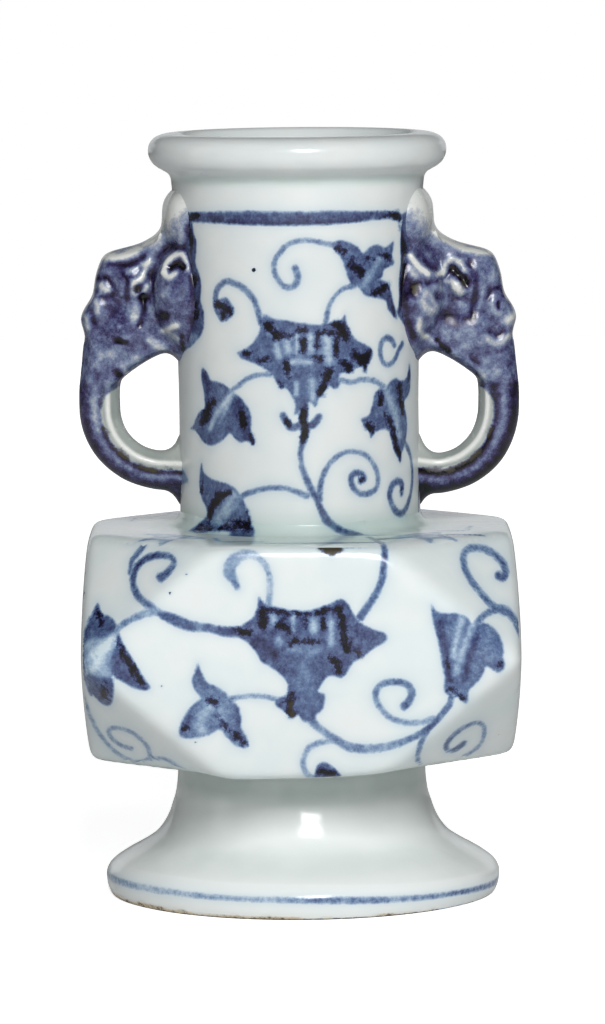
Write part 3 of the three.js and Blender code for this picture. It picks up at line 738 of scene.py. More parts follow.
def turned(parts, angles, uneven):
    """A thrown piece from the parts of its closed profile: its points, their angles from the
    front, whether each lies on the first part, and its faces."""
    profile = np.vstack(parts)
    z = profile[:, 1][:, None] + 0 * angles
    radius = profile[:, 0][:, None] + uneven * waves(UNEVEN, angles[None, :], z)
    points = np.stack([radius * np.sin(angles), -radius * np.cos(angles), z], -1).reshape(-1, 3)
    around = np.where(angles > math.pi, angles - 2 * math.pi, angles)
    around = np.broadcast_to(around, z.shape).ravel()
    on_first = (np.arange(len(profile)) < len(parts[0]))[:, None]
    first = np.broadcast_to(on_first, z.shape).ravel()
    return points, around, first, wrap_faces(len(profile), len(angles), close_rows=True)


# On the neck, heights over the shoulder and radii of where glaze pools, and how thickly it does
NECK_POOL_TOP = 7
COVE_HEIGHT = 73.4
COVE_REACH = 1.1
COVE_RADIUS = 26
MOUTH_RADIUS = 23
LOW_NECK_POOL = 0.9
COVE_POOL = 0.8
MOUTH_POOL = 0.4


def neck_piece():
    side = [
        (NECK_RADIUS, -0.6), (NECK_RADIUS, 6.6), (25.4, 17.6), (25.5, 32.6), (25.6, 47.6), (25.9, 60.6),
        (26.35, 68.6), (26.6, 72),
    ]
    cove = [(26.6, 72), (26.75, 73.2), (27.3, 74.1), (28.2, 74.7), (29.4, 75.35)]
    roll = [
        (29.4, 75.35), (30.5, 76.3), (31.2, 77.6), (31.42, 78.9), (31.15, 80.3), (30.2, 81.5), (28.6, 82.25),
        (26.6, 82.5), (25.3, 82.45), (24.4, 81.9),
    ]
    inside = [
        (24.4, 81.9), (23.6, 80.1), (22.6, 76.6), (21.8, 72.6), (NECK_BORE, 67.6), (NECK_BORE, 42.6),
        (NECK_BORE, -0.6),
    ]
    outside_step, inside_step = 0.45, 1.6
    rim = np.vstack([catmull(cove, steps=6), catmull(roll, steps=6)[1:]])
    parts = [
        resample(catmull(side, steps=12), outside_step),
        resample(rim, outside_step)[1:],
        resample(catmull(inside, steps=8), inside_step)[1:],
    ]
    angles = steps_round(front_step=0.42, back_step=0.62, radius=NECK_RADIUS)
    points, around, on_side, faces = turned(parts, angles, uneven=0.09)
    up = points[:, 2].copy()
    points[:, 2] += SHOULDER
    floats = neck_sheet(around, np.where(on_side, up, FAR_OFF)).floats()
    # Glaze pools green over the shoulder, in the cove under the lip and inside the mouth
    radius = np.hypot(points[:, 0], points[:, 1])
    over_shoulder = LOW_NECK_POOL * (1 - smooth(0, NECK_POOL_TOP, up)) * on_side
    in_cove = COVE_POOL * hump(up, COVE_HEIGHT, COVE_REACH) * (radius > COVE_RADIUS)
    floats["pool_and_shade"] = over_shoulder + in_cove + MOUTH_POOL * (radius < MOUTH_RADIUS)
    floats["bare"] = np.zeros(len(points))
    return make_mesh("porcelain_neck", points, faces, floats)


# On the foot, the height of the blue line, how it rises, tilts and droops round the edge, and
# the waves of its height, its half width and its load
FOOT_LINE = 3.9
LINE_RISE = 0.4
LINE_TILT = 0.87
LINE_DROOP = 0.8
LINE_WAVES = [(0.08, 7, 0, 1)]
FOOT_LINE_HALF = 0.6
HALF_WAVES = [(0.1, 5, 0, 0.5)]
FOOT_LINE_LOAD = 0.44
LOAD_WAVES = [(0.14, 1, 0, -0.1), (0.05, 9, 0, 0), (0.03, 23, 0, 0)]
# The paler turn of the edge over it, painted for its thin glaze and the highlight on it, where
# glaze pools and how thickly, and the painted shadow of the body over the foot's top
FOOT_HIGHLIGHT_HEIGHT = 5.9
FOOT_HIGHLIGHT_REACH = 0.7
THIN_GLAZE_AND_HIGHLIGHT = 0.6
FOOT_THIN_GLAZE = 0.12
FLARE_HEIGHT = 11
FLARE_REACH = 3
FLARE_POOL = 0.3
UNDER_BODY = (20, 25)
UNDER_BODY_SHADE = 0.95
INSIDE_POOL = 0.5
# The edge of the bare clay, and how the soil and painted contact shadow fade up from where it stands
BARE_FROM = (0.5, 0.9)
BARE_WAVES = [(0.16, 9, 0, 0), (0.1, 23, 0, 1), (0.08, 41, 0, 0)]
BARE_RAGGEDNESS = 1.2
BARE_LEAN = [(0.5, 1, 0, 0.3)]
BOTTOM_SOIL_AND_SHADE = 0.9
BOTTOM_SHADE_FALL = 3.4


def foot_piece():
    outside = catmull([
        (26.4, 30.3), (26.4, 27.2), (26.45, 24.6), (26.85, 21.4), (27.55, 19), (28.3, 16.8), (29.5, 14.5),
        (31.2, 12.4), (33.2, 10.9), (35.4, 9.6), (37.6, 8.4), (39.5, 7.2), (40.9, 6.1), (41.6, 5.1),
        (41.85, 4.2), (41.8, 3), (41.6, 1.8), (41.2, 0.8), (40.8, 0.15), (40.3, 0),
    ], steps=6)
    inside = catmull([
        (37.2, 0), (36.7, 0.3), (35, 2.2), (31, 5.4), (27, 8.4), (24, 12), (22.4, 17), (22, 22), (22, 30.1),
    ], steps=6)
    parts = [resample(outside, step=0.5), resample(inside, step=1.2)]
    angles = steps_round(front_step=0.55, back_step=0.8, radius=36)
    points, around, outer, faces = turned(parts, angles, uneven=0.07)
    points[:, 2] = np.maximum(points[:, 2], 0)
    height = points[:, 2]
    # One blue line round the edge, drawn on the wheel with a load that comes and goes
    side = np.sin(around)
    swing = LINE_RISE - LINE_TILT * side - LINE_DROOP * side**2 + waves(LINE_WAVES, around)
    half = FOOT_LINE_HALF + waves(HALF_WAVES, around)
    sheet = Sheet(np.full((len(points), 2), FAR_OFF))
    line_depth = depth(np.abs(height - FOOT_LINE - swing), half)
    sheet.edge = np.where(outer, line_depth, -REACH)
    floats = sheet.floats()
    floats["load"] = FOOT_LINE_LOAD + waves(LOAD_WAVES, around)
    # The turn of the edge is painted paler, for its thin glaze and the highlight on it, glaze pools
    # above it, and the foot's top under the body is painted darker as the body's shadow
    thin_glaze_and_highlight = THIN_GLAZE_AND_HIGHLIGHT * hump(height, FOOT_HIGHLIGHT_HEIGHT + swing, FOOT_HIGHLIGHT_REACH)
    on_flare = FLARE_POOL * hump(height, FLARE_HEIGHT, FLARE_REACH)
    painted_body_shadow = UNDER_BODY_SHADE * smooth(*UNDER_BODY, height)
    pool_and_shade = FOOT_THIN_GLAZE + on_flare + painted_body_shadow - thin_glaze_and_highlight
    floats["pool_and_shade"] = np.where(outer, pool_and_shade, INSIDE_POOL)
    # Bare clay where it stands, reaching higher on the left, and darkened at the very bottom with soil and
    # painted contact shadow
    ragged = BARE_RAGGEDNESS * waves(BARE_WAVES, around)
    floats["bare"] = 1 - smooth(*BARE_FROM, height + ragged + waves(BARE_LEAN, around))
    floats["burnt"] = np.where(outer, BOTTOM_SOIL_AND_SHADE - BOTTOM_SHADE_FALL * height, -REACH)
    return make_mesh("porcelain_foot", points, faces, floats)


# The body's block melts at its edges and corners, its slabs bow, and its walls have a belly
EDGE_MELT = 1.0
SLAB_BOW = 0.55
WALL_BELLY = 4.4
BELLY_OUT = 0.7
# The skin is looked for between this share of the way out to the slabs and the whole of it
DEEPEST = 0.6
HALVINGS = 26
PULL_LIMITS = (-30, 5)
# A place whose way out rises more than this faces up
FACING_UP = 0.8
# How far the left side and the front's lower edge sank in the kiln
LEFT_SINK = 0.8
FRONT_SINK = 1.0
# Where that edge sank: across on its left and right, out to the front, and down
SINK_LEFT = (-24, -13)
SINK_RIGHT = (0, 27)
SINK_FRONT = (34, 43)
SINK_LOW = (15, 24)


def body_planes():
    """Outward directions and distances from the body's middle: four walls, top, bottom, corners."""
    ways = [(1, 0, 0), (-1, 0, 0), (0, 1, 0), (0, -1, 0), (0, 0, 1), (0, 0, -1)]
    fars = [BODY_HALF] * 4 + [BODY_RISE] * 2
    reach = (2 * BODY_HALF - CORNER_CUT) / CORNER_CUT + BODY_RISE / CORNER_DROP
    for x in (-1, 1):
        for y in (-1, 1):
            for z in (-1, 1):
                way = np.array([x / CORNER_CUT, y / CORNER_CUT, z / CORNER_DROP])
                size = np.sqrt((way**2).sum())
                ways.append(tuple(way / size))
                fars.append(reach / size)
    return np.array(ways), np.array(fars)


def onto_body(target, shrink=0.0, melt=EDGE_MELT, bow=SLAB_BOW, belly=WALL_BELLY):
    """Where the ray from the body's middle to each target leaves the softened, faceted block,
    and the way out of its surface there. Each slab is a little fuller at its middle."""
    ways, fars = body_planes()
    walls = ways[:, 2] == 0
    fars = fars - shrink + BELLY_OUT * walls * (belly > 0)
    ray = target / np.sqrt((target**2).sum(1))[:, None]
    slope = ray @ ways.T
    reach = np.where(slope > TINY, fars / np.maximum(slope, TINY), np.inf).min(1)
    low, high = DEEPEST * reach, reach
    for _ in range(HALVINGS):
        middle = 0.5 * (low + high)
        spots = ray * middle[:, None]
        out = spots @ ways.T
        spread = (spots**2).sum(1)[:, None] - out**2
        sink = (bow * spread + belly * walls * spots[:, 2:] ** 2) / BODY_HALF**2
        pull = np.exp(melt * np.clip(out - fars + sink, *PULL_LIMITS))
        outside = pull.sum(1) > 1
        high = np.where(outside, middle, high)
        low = np.where(outside, low, middle)
    return spots, (pull / pull.sum(1)[:, None]) @ ways


def square_ring(front_step, back_step):
    """Places round a square of half width 1, starting at the front's left end."""
    sides = []
    for quarter in range(4):
        step = front_step if quarter == 0 else back_step
        run = np.linspace(-1, 1, int(2 * BODY_HALF / step), endpoint=False)
        side = np.stack([run, -np.ones_like(run)], -1)
        for _ in range(quarter):
            side = np.stack([-side[:, 1], side[:, 0]], -1)
        sides.append(side)
    return np.vstack(sides)


def body_rows(ring, rises, under, over, inner, shrink=0.0):
    """Target rows from the underside's inner ring, up the walls, to the shoulder's inner ring."""
    half = BODY_HALF - shrink
    rise = BODY_RISE - shrink
    round_ring = ring / np.sqrt((ring**2).sum(1))[:, None]
    # The shoulder's rows lie closer together towards the neck
    crowding = 1.6

    def level(share, up):
        flat_ring = share * half * ring + (1 - share) * inner * round_ring
        return np.column_stack([flat_ring, np.full(len(ring), up * rise)])

    rows = [level(share, -1) for share in np.linspace(0, 1, under, endpoint=False)]
    rows += [level(1, up) for up in np.linspace(-1, 1, rises)]
    rows += [level(share, 1) for share in np.linspace(1, 0, over + 1)[1:] ** crowding]
    return np.vstack(rows)


def settled(points):
    """The body as it sank in the kiln."""
    points = points.copy()
    x, y, z = points.T
    z -= LEFT_SINK * np.clip(-x / BODY_HALF, 0, 1) * np.clip(-z / BODY_RISE, 0, 1)
    middle = smooth(*SINK_LEFT, x) * (1 - smooth(*SINK_RIGHT, x))
    z -= FRONT_SINK * middle * smooth(*SINK_FRONT, -y) * smooth(*SINK_LOW, -z)
    return points


def body_piece():
    ring = square_ring(front_step=0.42, back_step=0.75)
    columns = len(ring)
    outer, out = onto_body(body_rows(ring, rises=112, under=10, over=28, inner=NECK_RADIUS - 0.6))
    inner_rows = body_rows(ring, rises=8, under=3, over=4, inner=NECK_BORE, shrink=BODY_WALL)
    inner, _ = onto_body(inner_rows, BODY_WALL, melt=0.6, bow=0, belly=0)
    # The shoulder is wiped up on to the neck in a small hollow curve
    radius = np.hypot(outer[:, 0], outer[:, 1])
    into = np.clip(NECK_RADIUS + FILLET - radius, 0, FILLET)
    outer[:, 2] += (out[:, 2] > FACING_UP) * (FILLET - np.sqrt(FILLET**2 - into**2))
    floats = body_floats(outer, out, radius)
    extra = len(inner) + 2
    blanks = {"edge": -REACH, "load": PLAIN_LOAD, "burnt": -REACH, "rust": -REACH, "pool_and_shade": 0.4, "bare": 0}
    for key, blank in blanks.items():
        floats[key] = np.concatenate([floats[key], np.full(extra, blank)])
    inner = inner.reshape(-1, columns, 3)[::-1].reshape(-1, 3)
    middles = np.array([[0, 0, outer[0, 2]], [0, 0, inner[-1, 2]]])
    points = np.vstack([outer, inner, middles])
    rows = (len(points) - 2) // columns
    faces = wrap_faces(rows, columns)
    first = len(points) - 2
    last_row = (rows - 1) * columns
    for i in range(columns):
        after = (i + 1) % columns
        faces.append([first, after, i])
        faces.append([first + 1, last_row + i, last_row + after])
    return make_mesh("porcelain_body", settled(points) + [0, 0, BODY_MIDDLE], faces, floats)


# The side sheets are squeezed a little, so that their painting keeps off the cut corners
SIDE_SQUEEZE = 1.17
# How much higher the left of the front's painting sits, and over which way across
PAINTING_LIFT = 0.9
LIFT_ACROSS = (-18, 10)
# A place is on a side if its way out points this many times more along X than along Y
SIDE_STEEPNESS = 4
# How far out from the wiped fillet the painting of the neck runs on
WIPED_REACH = 3
# How far out on the shoulder glaze pools, how much further at the front, and its soft edge
SHOULDER_POOL = 34
FRONT_POOL = 12
FRONT_TURN = (0.7, 0.95)
POOL_EDGE = 6
# How thickly glaze pools on the shoulder, under the body and along its edges
SHOULDER_THICK = 0.9
UNDERSIDE_THICK = 0.3
EDGE_THICK = 0.25
EDGE_REACH = 3


def body_floats(at, out, radius):
    """Paints each side of the body on its own sheet and lays the sheets together."""
    x, y, z = at.T
    steep_x, steep_y = np.abs(out[:, 0]), np.abs(out[:, 1])
    on_top = out[:, 2] > FACING_UP
    under = out[:, 2] < -FACING_UP
    wiped = on_top & (radius < NECK_RADIUS + FILLET + WIPED_REACH)
    upright = ~on_top & ~under
    side = upright & (steep_x > SIDE_STEEPNESS * steep_y)
    facing = upright & ~side
    floats = Sheet(at[:, :2] + FAR_OFF).floats()

    def lay(chosen, sheet, painter=None):
        if painter:
            painter(sheet)
        for key, values in sheet.floats().items():
            floats[key][chosen] = values

    up = z - BODY_RISE - np.maximum(0, radius - NECK_RADIUS - FILLET)
    lay(wiped, neck_sheet(np.arctan2(x, -y)[wiped], up[wiped]))
    flat = on_top & ~wiped
    lay(flat, Sheet(np.stack([x, y], -1)[flat]), paint_shoulder)
    front = facing & (y < 0)
    lift = PAINTING_LIFT * smooth(*LIFT_ACROSS, -x)
    lay(front, Sheet(np.stack([x, z - lift], -1)[front]), paint_front)
    back = facing & (y > 0)
    lay(back, Sheet(drifted(np.stack([-x, z], -1)[back], size=0.8, reach=BODY_HALF)), paint_front)
    for towards, drift in ((1, 0.9), (-1, 1.2)):
        chosen = side & (towards * x > 0)
        laid = np.stack([-towards * SIDE_SQUEEZE * y, z], -1)[chosen]
        lay(chosen, Sheet(drifted(laid, drift, SIDE_SQUEEZE * BODY_HALF)), paint_side)
    # Glaze pools on the shoulder round the neck, under the body and a little at the edges
    pool_reach = SHOULDER_POOL + FRONT_POOL * smooth(*FRONT_TURN, -y / radius)
    on_shoulder = SHOULDER_THICK * (1 - smooth(pool_reach - POOL_EDGE, pool_reach, radius)) * on_top
    at_edges = EDGE_THICK * smooth(BODY_RISE - EDGE_REACH, BODY_RISE, np.abs(z)) * upright
    floats["pool_and_shade"] = on_shoulder + UNDERSIDE_THICK * under + at_edges
    floats["bare"] = np.zeros(len(at))
    return floats


# Handles, modelled as the right-hand one and turned round for the left. Side view points are
# (distance out from the vase's axis, height), measured with the shoulder at this height.
MEASURED_SHOULDER = 77.4
# A plate's rounded edge: how far across its thickness, and how far drawn in
PLATE_EDGE = [(-1, 1), (-0.6, 0.25), (0, 0), (0.6, 0.25), (1, 1)]


class Clay:
    """Closed lumps of clay that overlap, to be joined under one skin."""

    def __init__(self):
        self.verts = []
        self.faces = []

    def bands(self, first, rows, columns):
        """Faces between rings of points, each ring after the other."""
        for i in range(rows - 1):
            for j in range(columns):
                k = (j + 1) % columns
                p = first + i * columns
                self.faces.append((p + j, p + k, p + columns + k, p + columns + j))

    def ellipsoid(self, centre, size, turn=0.0, rings=14, sides=20):
        """A lump, turned about Y by an angle in radians."""
        base = len(self.verts)
        unit = [(0, 0, 1)]
        for i in range(1, rings):
            a = math.pi * i / rings
            for j in range(sides):
                b = 2 * math.pi * j / sides
                unit.append((math.sin(a) * math.cos(b), math.sin(a) * math.sin(b), math.cos(a)))
        unit.append((0, 0, -1))
        for point in unit:
            x, y, z = (v * s for v, s in zip(point, size))
            xt = x * math.cos(turn) + z * math.sin(turn)
            zt = z * math.cos(turn) - x * math.sin(turn)
            self.verts.append((xt + centre[0], y + centre[1], zt + centre[2]))
        last = len(self.verts) - 1
        for j in range(sides):
            k = (j + 1) % sides
            self.faces.append((base, base + 1 + j, base + 1 + k))
            self.faces.append((last, last - sides + k, last - sides + j))
            for i in range(rings - 2):
                p = base + 1 + i * sides
                self.faces.append((p + j, p + sides + j, p + sides + k, p + k))

    def smear(self, angle, height, size):
        """Clay wiped flat on to the neck: a thin lump that follows its curve."""
        start = len(self.verts)
        self.ellipsoid((0, 0, 0), size)
        for i in range(start, len(self.verts)):
            out, over, up = self.verts[i]
            turn = angle + over / NECK_RADIUS
            reach = NECK_RADIUS + out
            self.verts[i] = (reach * math.cos(turn), reach * math.sin(turn), height + up)

    def rod(self, line, sides=20):
        """A rod along (x, z, half thickness, half depth) points, closed at both ends."""
        path = catmull(line, steps=6)
        base = len(self.verts)
        for (x, z, thick, deep), way in zip(path, np.gradient(path[:, :2], axis=0)):
            across = np.array([-way[1], way[0]]) / np.hypot(*way)
            for j in range(sides):
                b = 2 * math.pi * j / sides
                out = across * thick * math.cos(b)
                self.verts.append((x + out[0], deep * math.sin(b), z + out[1]))
        self.bands(base, len(path), sides)
        last = base + (len(path) - 1) * sides
        self.faces.append(tuple(base + j for j in range(sides))[::-1])
        self.faces.append(tuple(last + j for j in range(sides)))

    def plate(self, outline, thick, edge=1.5):
        """A plate with a rounded edge: its outline in side view, and its half thickness."""
        curve = catmull(outline, steps=3, closed=True)
        tangent = np.roll(curve, -1, 0) - np.roll(curve, 1, 0)
        tangent /= np.sqrt((tangent**2).sum(1))[:, None]
        inward = np.stack([tangent[:, 1], -tangent[:, 0]], -1)
        base = len(self.verts)
        count = len(curve)
        for side, pull in PLATE_EDGE:
            for x, z in curve + inward * edge * pull:
                self.verts.append((x, side * thick(x), z))
        self.bands(base, len(PLATE_EDGE), count)
        x, z = curve.mean(0)
        for row, flip in ((0, False), (len(PLATE_EDGE) - 1, True)):
            self.verts.append((x, PLATE_EDGE[row][0] * thick(x), z))
            hub = len(self.verts) - 1
            for j in range(count):
                face = (hub, base + row * count + (j + 1) % count, base + row * count + j)
                self.faces.append(face[::-1] if flip else face)


HEAD_OUTLINE = [
    (22.5, 149), (25.6, 148.7), (27.4, 147.2), (28.5, 145.2), (28.7, 142.5), (28.9, 140.2), (30.4, 138.4),
    (33.4, 136.8), (36.6, 135.9), (39.6, 135.1), (41.4, 133.8), (42.8, 130), (43.5, 126), (45.2, 123.2),
    (46.1, 120.8), (45.4, 118.2), (44.9, 114.8), (45.2, 111.6), (46, 107), (43, 105.5), (38.6, 106.5),
    (37.2, 108.2), (34, 110.6), (30.6, 112.6), (27.6, 113.6), (25.6, 112), (22.5, 110.4),
]
TRUNK_LINE = [
    (41.6, 116, 3.9, 4.6), (41.8, 110, 4.3, 4.6), (42.2, 104.5, 4.4, 4.5), (41.8, 99, 4.4, 4.4),
    (39.6, 94.2, 4.3, 4.3), (35.6, 90.6, 4.2, 4.2), (31, 88.9, 4.2, 4.1), (26.5, 88.6, 4.5, 4.6),
    (22.5, 88.6, 5, 6),
]
ROOT_OUTLINE = [
    (22.5, 98), (25.6, 96.6), (26.1, 94.8), (27.4, 93.4), (30, 92), (32, 89), (30.4, 85.6), (28, 84.2),
    (26.4, 82.8), (25.6, 81), (22.5, 80.4),
]
# The head narrows from the neck to the trunk: distances out, and half thicknesses there
HEAD_OUT = [22, 27, 33, 40, 46]
HEAD_THICK = [7, 6.8, 6.2, 5.2, 4.2]
ROOT_THICK = 3.2


def handle_clay():
    """The handle's main forms as overlapping closed shapes."""
    clay = Clay()
    clay.plate(HEAD_OUTLINE, lambda x: float(np.interp(x, HEAD_OUT, HEAD_THICK)))
    clay.rod(TRUNK_LINE)
    # Clay wiped round the trunk's end on to the neck
    clay.plate(ROOT_OUTLINE, lambda x: ROOT_THICK)
    for face in (-1, 1):
        # The ear, and the clay of the knob and the ear wiped on to the neck
        clay.ellipsoid((22.2, face * 6.4, 126.5), (8.4, 6.9, 11))
        clay.ellipsoid((22.6, face * 6, 142), (5.6, 7.4, 7.8))
        clay.smear(face * 0.24, 126, (2.0, 9, 13))
        # The swellings of the eye, the cheek and the root of the trunk
        clay.ellipsoid((34.6, face * 5, 128.5), (4.2, 2.3, 4.2), -0.4)
        clay.ellipsoid((35, face * 4, 118.5), (6.4, 2.6, 6.4), 0.6)
        clay.ellipsoid((41.2, face * 3.4, 123), (2.6, 2.2, 3.6), 0.3)
    clay.ellipsoid((42.3, 0, 112), (3.2, 5.2, 5), 0.1)
    return clay


def remeshed(clay, voxel, name):
    """One closed skin round the lumps of clay."""
    mesh = bpy.data.meshes.new(name)
    mesh.from_pydata(clay.verts, [], clay.faces)
    rough = placed(name, mesh)
    modifier = rough.modifiers.new("skin", "REMESH")
    modifier.mode = "VOXEL"
    modifier.voxel_size = voxel
    bpy.context.view_layer.update()
    skinned = rough.evaluated_get(bpy.context.evaluated_depsgraph_get()).to_mesh()
    points = np.zeros(len(skinned.vertices) * 3)
    skinned.vertices.foreach_get("co", points)
    polygons = [tuple(p.vertices) for p in skinned.polygons]
    bpy.data.objects.remove(rough)
    return points.reshape(-1, 3), polygons


def edge_list(polygons):
    pairs = set()
    for p in polygons:
        for a, b in zip(p, p[1:] + p[:1]):
            pairs.add((min(a, b), max(a, b)))
    return np.array(sorted(pairs))


def averaged(values, edges, rounds, share=0.5):
    """Spreads values over the mesh by mixing each point with its neighbours."""
    count = len(values)
    degree = np.bincount(edges.ravel(), minlength=count).astype(float)
    table = values.reshape(count, -1).astype(float)
    for _ in range(rounds):
        mean = np.zeros_like(table)
        for k in range(table.shape[1]):
            mean[:, k] += np.bincount(edges[:, 0], table[edges[:, 1], k], count)
            mean[:, k] += np.bincount(edges[:, 1], table[edges[:, 0], k], count)
        table = table + share * (mean / degree[:, None] - table)
    return table.reshape(values.shape)


def point_normals(points, polygons):
    quads = np.array([p if len(p) == 4 else p + (p[-1],) for p in polygons])
    a, b, c, d = (points[quads[:, k]] for k in range(4))
    cross = np.cross(c - a, d - b)
    total = np.zeros_like(points)
    for k in range(4):
        np.add.at(total, quads[:, k], cross)
    return total / np.maximum(np.sqrt((total**2).sum(1))[:, None], TINY)


# The relief of each head, in side view: a line's points, its width, how far it stands out, and
# how much more blue lies on it. The photo shows one face of each head, and they differ.
RIGHT_RELIEF = [
    # The upper fold of the ear, with a painted highlight along it and a small one beside it, the
    # hollow under it and the curled lobe
    ([(23.4, 134.4), (25, 132.4), (27, 130.6), (29.2, 129.2)], 1.7, 1.0, -0.06),
    ([(23.4, 134.4), (25, 132.4), (27, 130.6)], 0.9, 0.4, -0.6),
    ([(29.4, 130.4), (29.8, 130.4)], 0.9, 0.3, -0.6),
    ([(24.4, 128.8), (24, 127.2)], 2.2, -1.1, 0.34),
    ([(23.8, 131.2), (24.4, 129.8)], 1.3, 0.4, -0.36),
    ([(26.6, 133.2), (28.6, 131.6), (30, 129.6)], 1.2, -0.7, 0.18),
    ([(27.6, 126), (28.4, 124.2), (30.2, 123.8), (31.2, 125.4), (30.6, 127.2), (29, 127.6)], 1.2, 0.6, -0.14),
    ([(29.3, 125.9), (29.5, 125.4)], 1.4, -0.6, 0.1),
    ([(26.3, 126.4), (26.2, 124), (27.4, 122.7), (29, 122.5)], 1.7, 0.4, -0.26),
    ([(26.8, 128.6), (28.6, 129), (30.6, 128.2)], 1.0, -0.5, 0.14),
    # The eye under its brow
    ([(30.4, 130.4), (31, 132.4), (32.4, 133.2), (33.8, 132.4), (34.6, 131)], 1.3, 1.0, -0.42),
    ([(32.6, 131.2), (33.6, 130.2), (34.8, 129)], 1.9, -1.3, 0.42),
    ([(34.6, 129.2), (35.3, 127.6)], 1.3, -0.9, 0.36),
    ([(32.8, 127.9), (33.8, 126.9)], 2.3, 1.1, -0.5),
    ([(31.4, 127.8), (32.2, 125.9), (34, 125), (35.6, 126)], 1.0, -0.5, 0.2),
    ([(30.8, 128.7), (31.2, 128.5)], 0.9, 0.5, -0.4),
    ([(36, 131.8), (37.1, 129.4), (37.2, 126.6), (36.8, 123), (36.6, 120.4)], 1.2, -0.3, 0.2),
    ([(37.6, 132), (38.7, 129.4), (38.8, 126.4), (38, 123.4)], 1.4, 0.5, -0.08),
    # The small outer eye and the bump on the forehead
    ([(42, 124.1), (42, 122.9)], 0.55, -0.4, 0.38),
    ([(40, 125), (40.6, 126.9), (42.2, 126.9), (43.4, 125.4)], 1.0, -0.3, 0.2),
    ([(40.6, 124.6), (40.5, 122.8), (42, 121.4)], 1.3, 0.4, -0.16),
    ([(40.2, 129.4), (41.6, 130.4)], 1.8, 0.2, -0.12),
    ([(43.8, 120), (45.2, 120.8)], 1.7, 0.5, -0.4),
    # Cheek, mouth and jaw
    ([(39.6, 116.5), (41.2, 115.5), (43, 115.8), (44.2, 117)], 1.3, 0.6, -0.32),
    ([(40.4, 118), (42, 117.3), (43.2, 118.2)], 1.4, -0.4, 0.16),
    ([(31.4, 121.2), (34, 120), (36.4, 121.6)], 1.8, -0.2, 0.16),
    ([(28.8, 121.6), (31, 122), (33.4, 121.6)], 1.6, -0.3, 0.14),
    ([(34, 123.8), (35, 122.8)], 2.0, 0.5, -0.14),
    ([(31, 118.6), (34, 117.4), (37, 117.8)], 2.6, 0.3, -0.08),
    ([(25.4, 121), (25.2, 119), (26, 117.4)], 1.2, 0.6, -0.4),
    ([(27, 117.2), (28.4, 116.1), (29.2, 115.5)], 1.1, 0.6, -0.34),
    ([(29, 116.2), (30.2, 115), (31.4, 114)], 0.9, -0.4, 0.4),
    ([(33, 113.6), (35, 115), (38, 115.2)], 1.6, 0.4, -0.1),
    ([(36.2, 112.6), (37.8, 111.4)], 1.1, -0.3, 0.22),
    ([(38.4, 108.8), (39.6, 111.2), (41.6, 109.6)], 2.4, 0.1, -0.16),
    ([(37.2, 108.6), (37.1, 108.2)], 1.2, -0.3, 0.4),
    # The rim along the top of the head and the groove under it
    ([(29, 139.3), (31, 137.4), (34, 135.7), (38, 134.8), (40.8, 134.4)], 1.1, 0.3, -0.46),
    ([(30.4, 136.2), (34, 134.4), (38, 133.4)], 1.2, -0.2, 0.06),
    # The fold where the ear leaves the neck
    ([(22.2, 137), (21.9, 130), (22.2, 125), (23, 120), (24, 117)], 1.6, -0.4, 0.3),
]
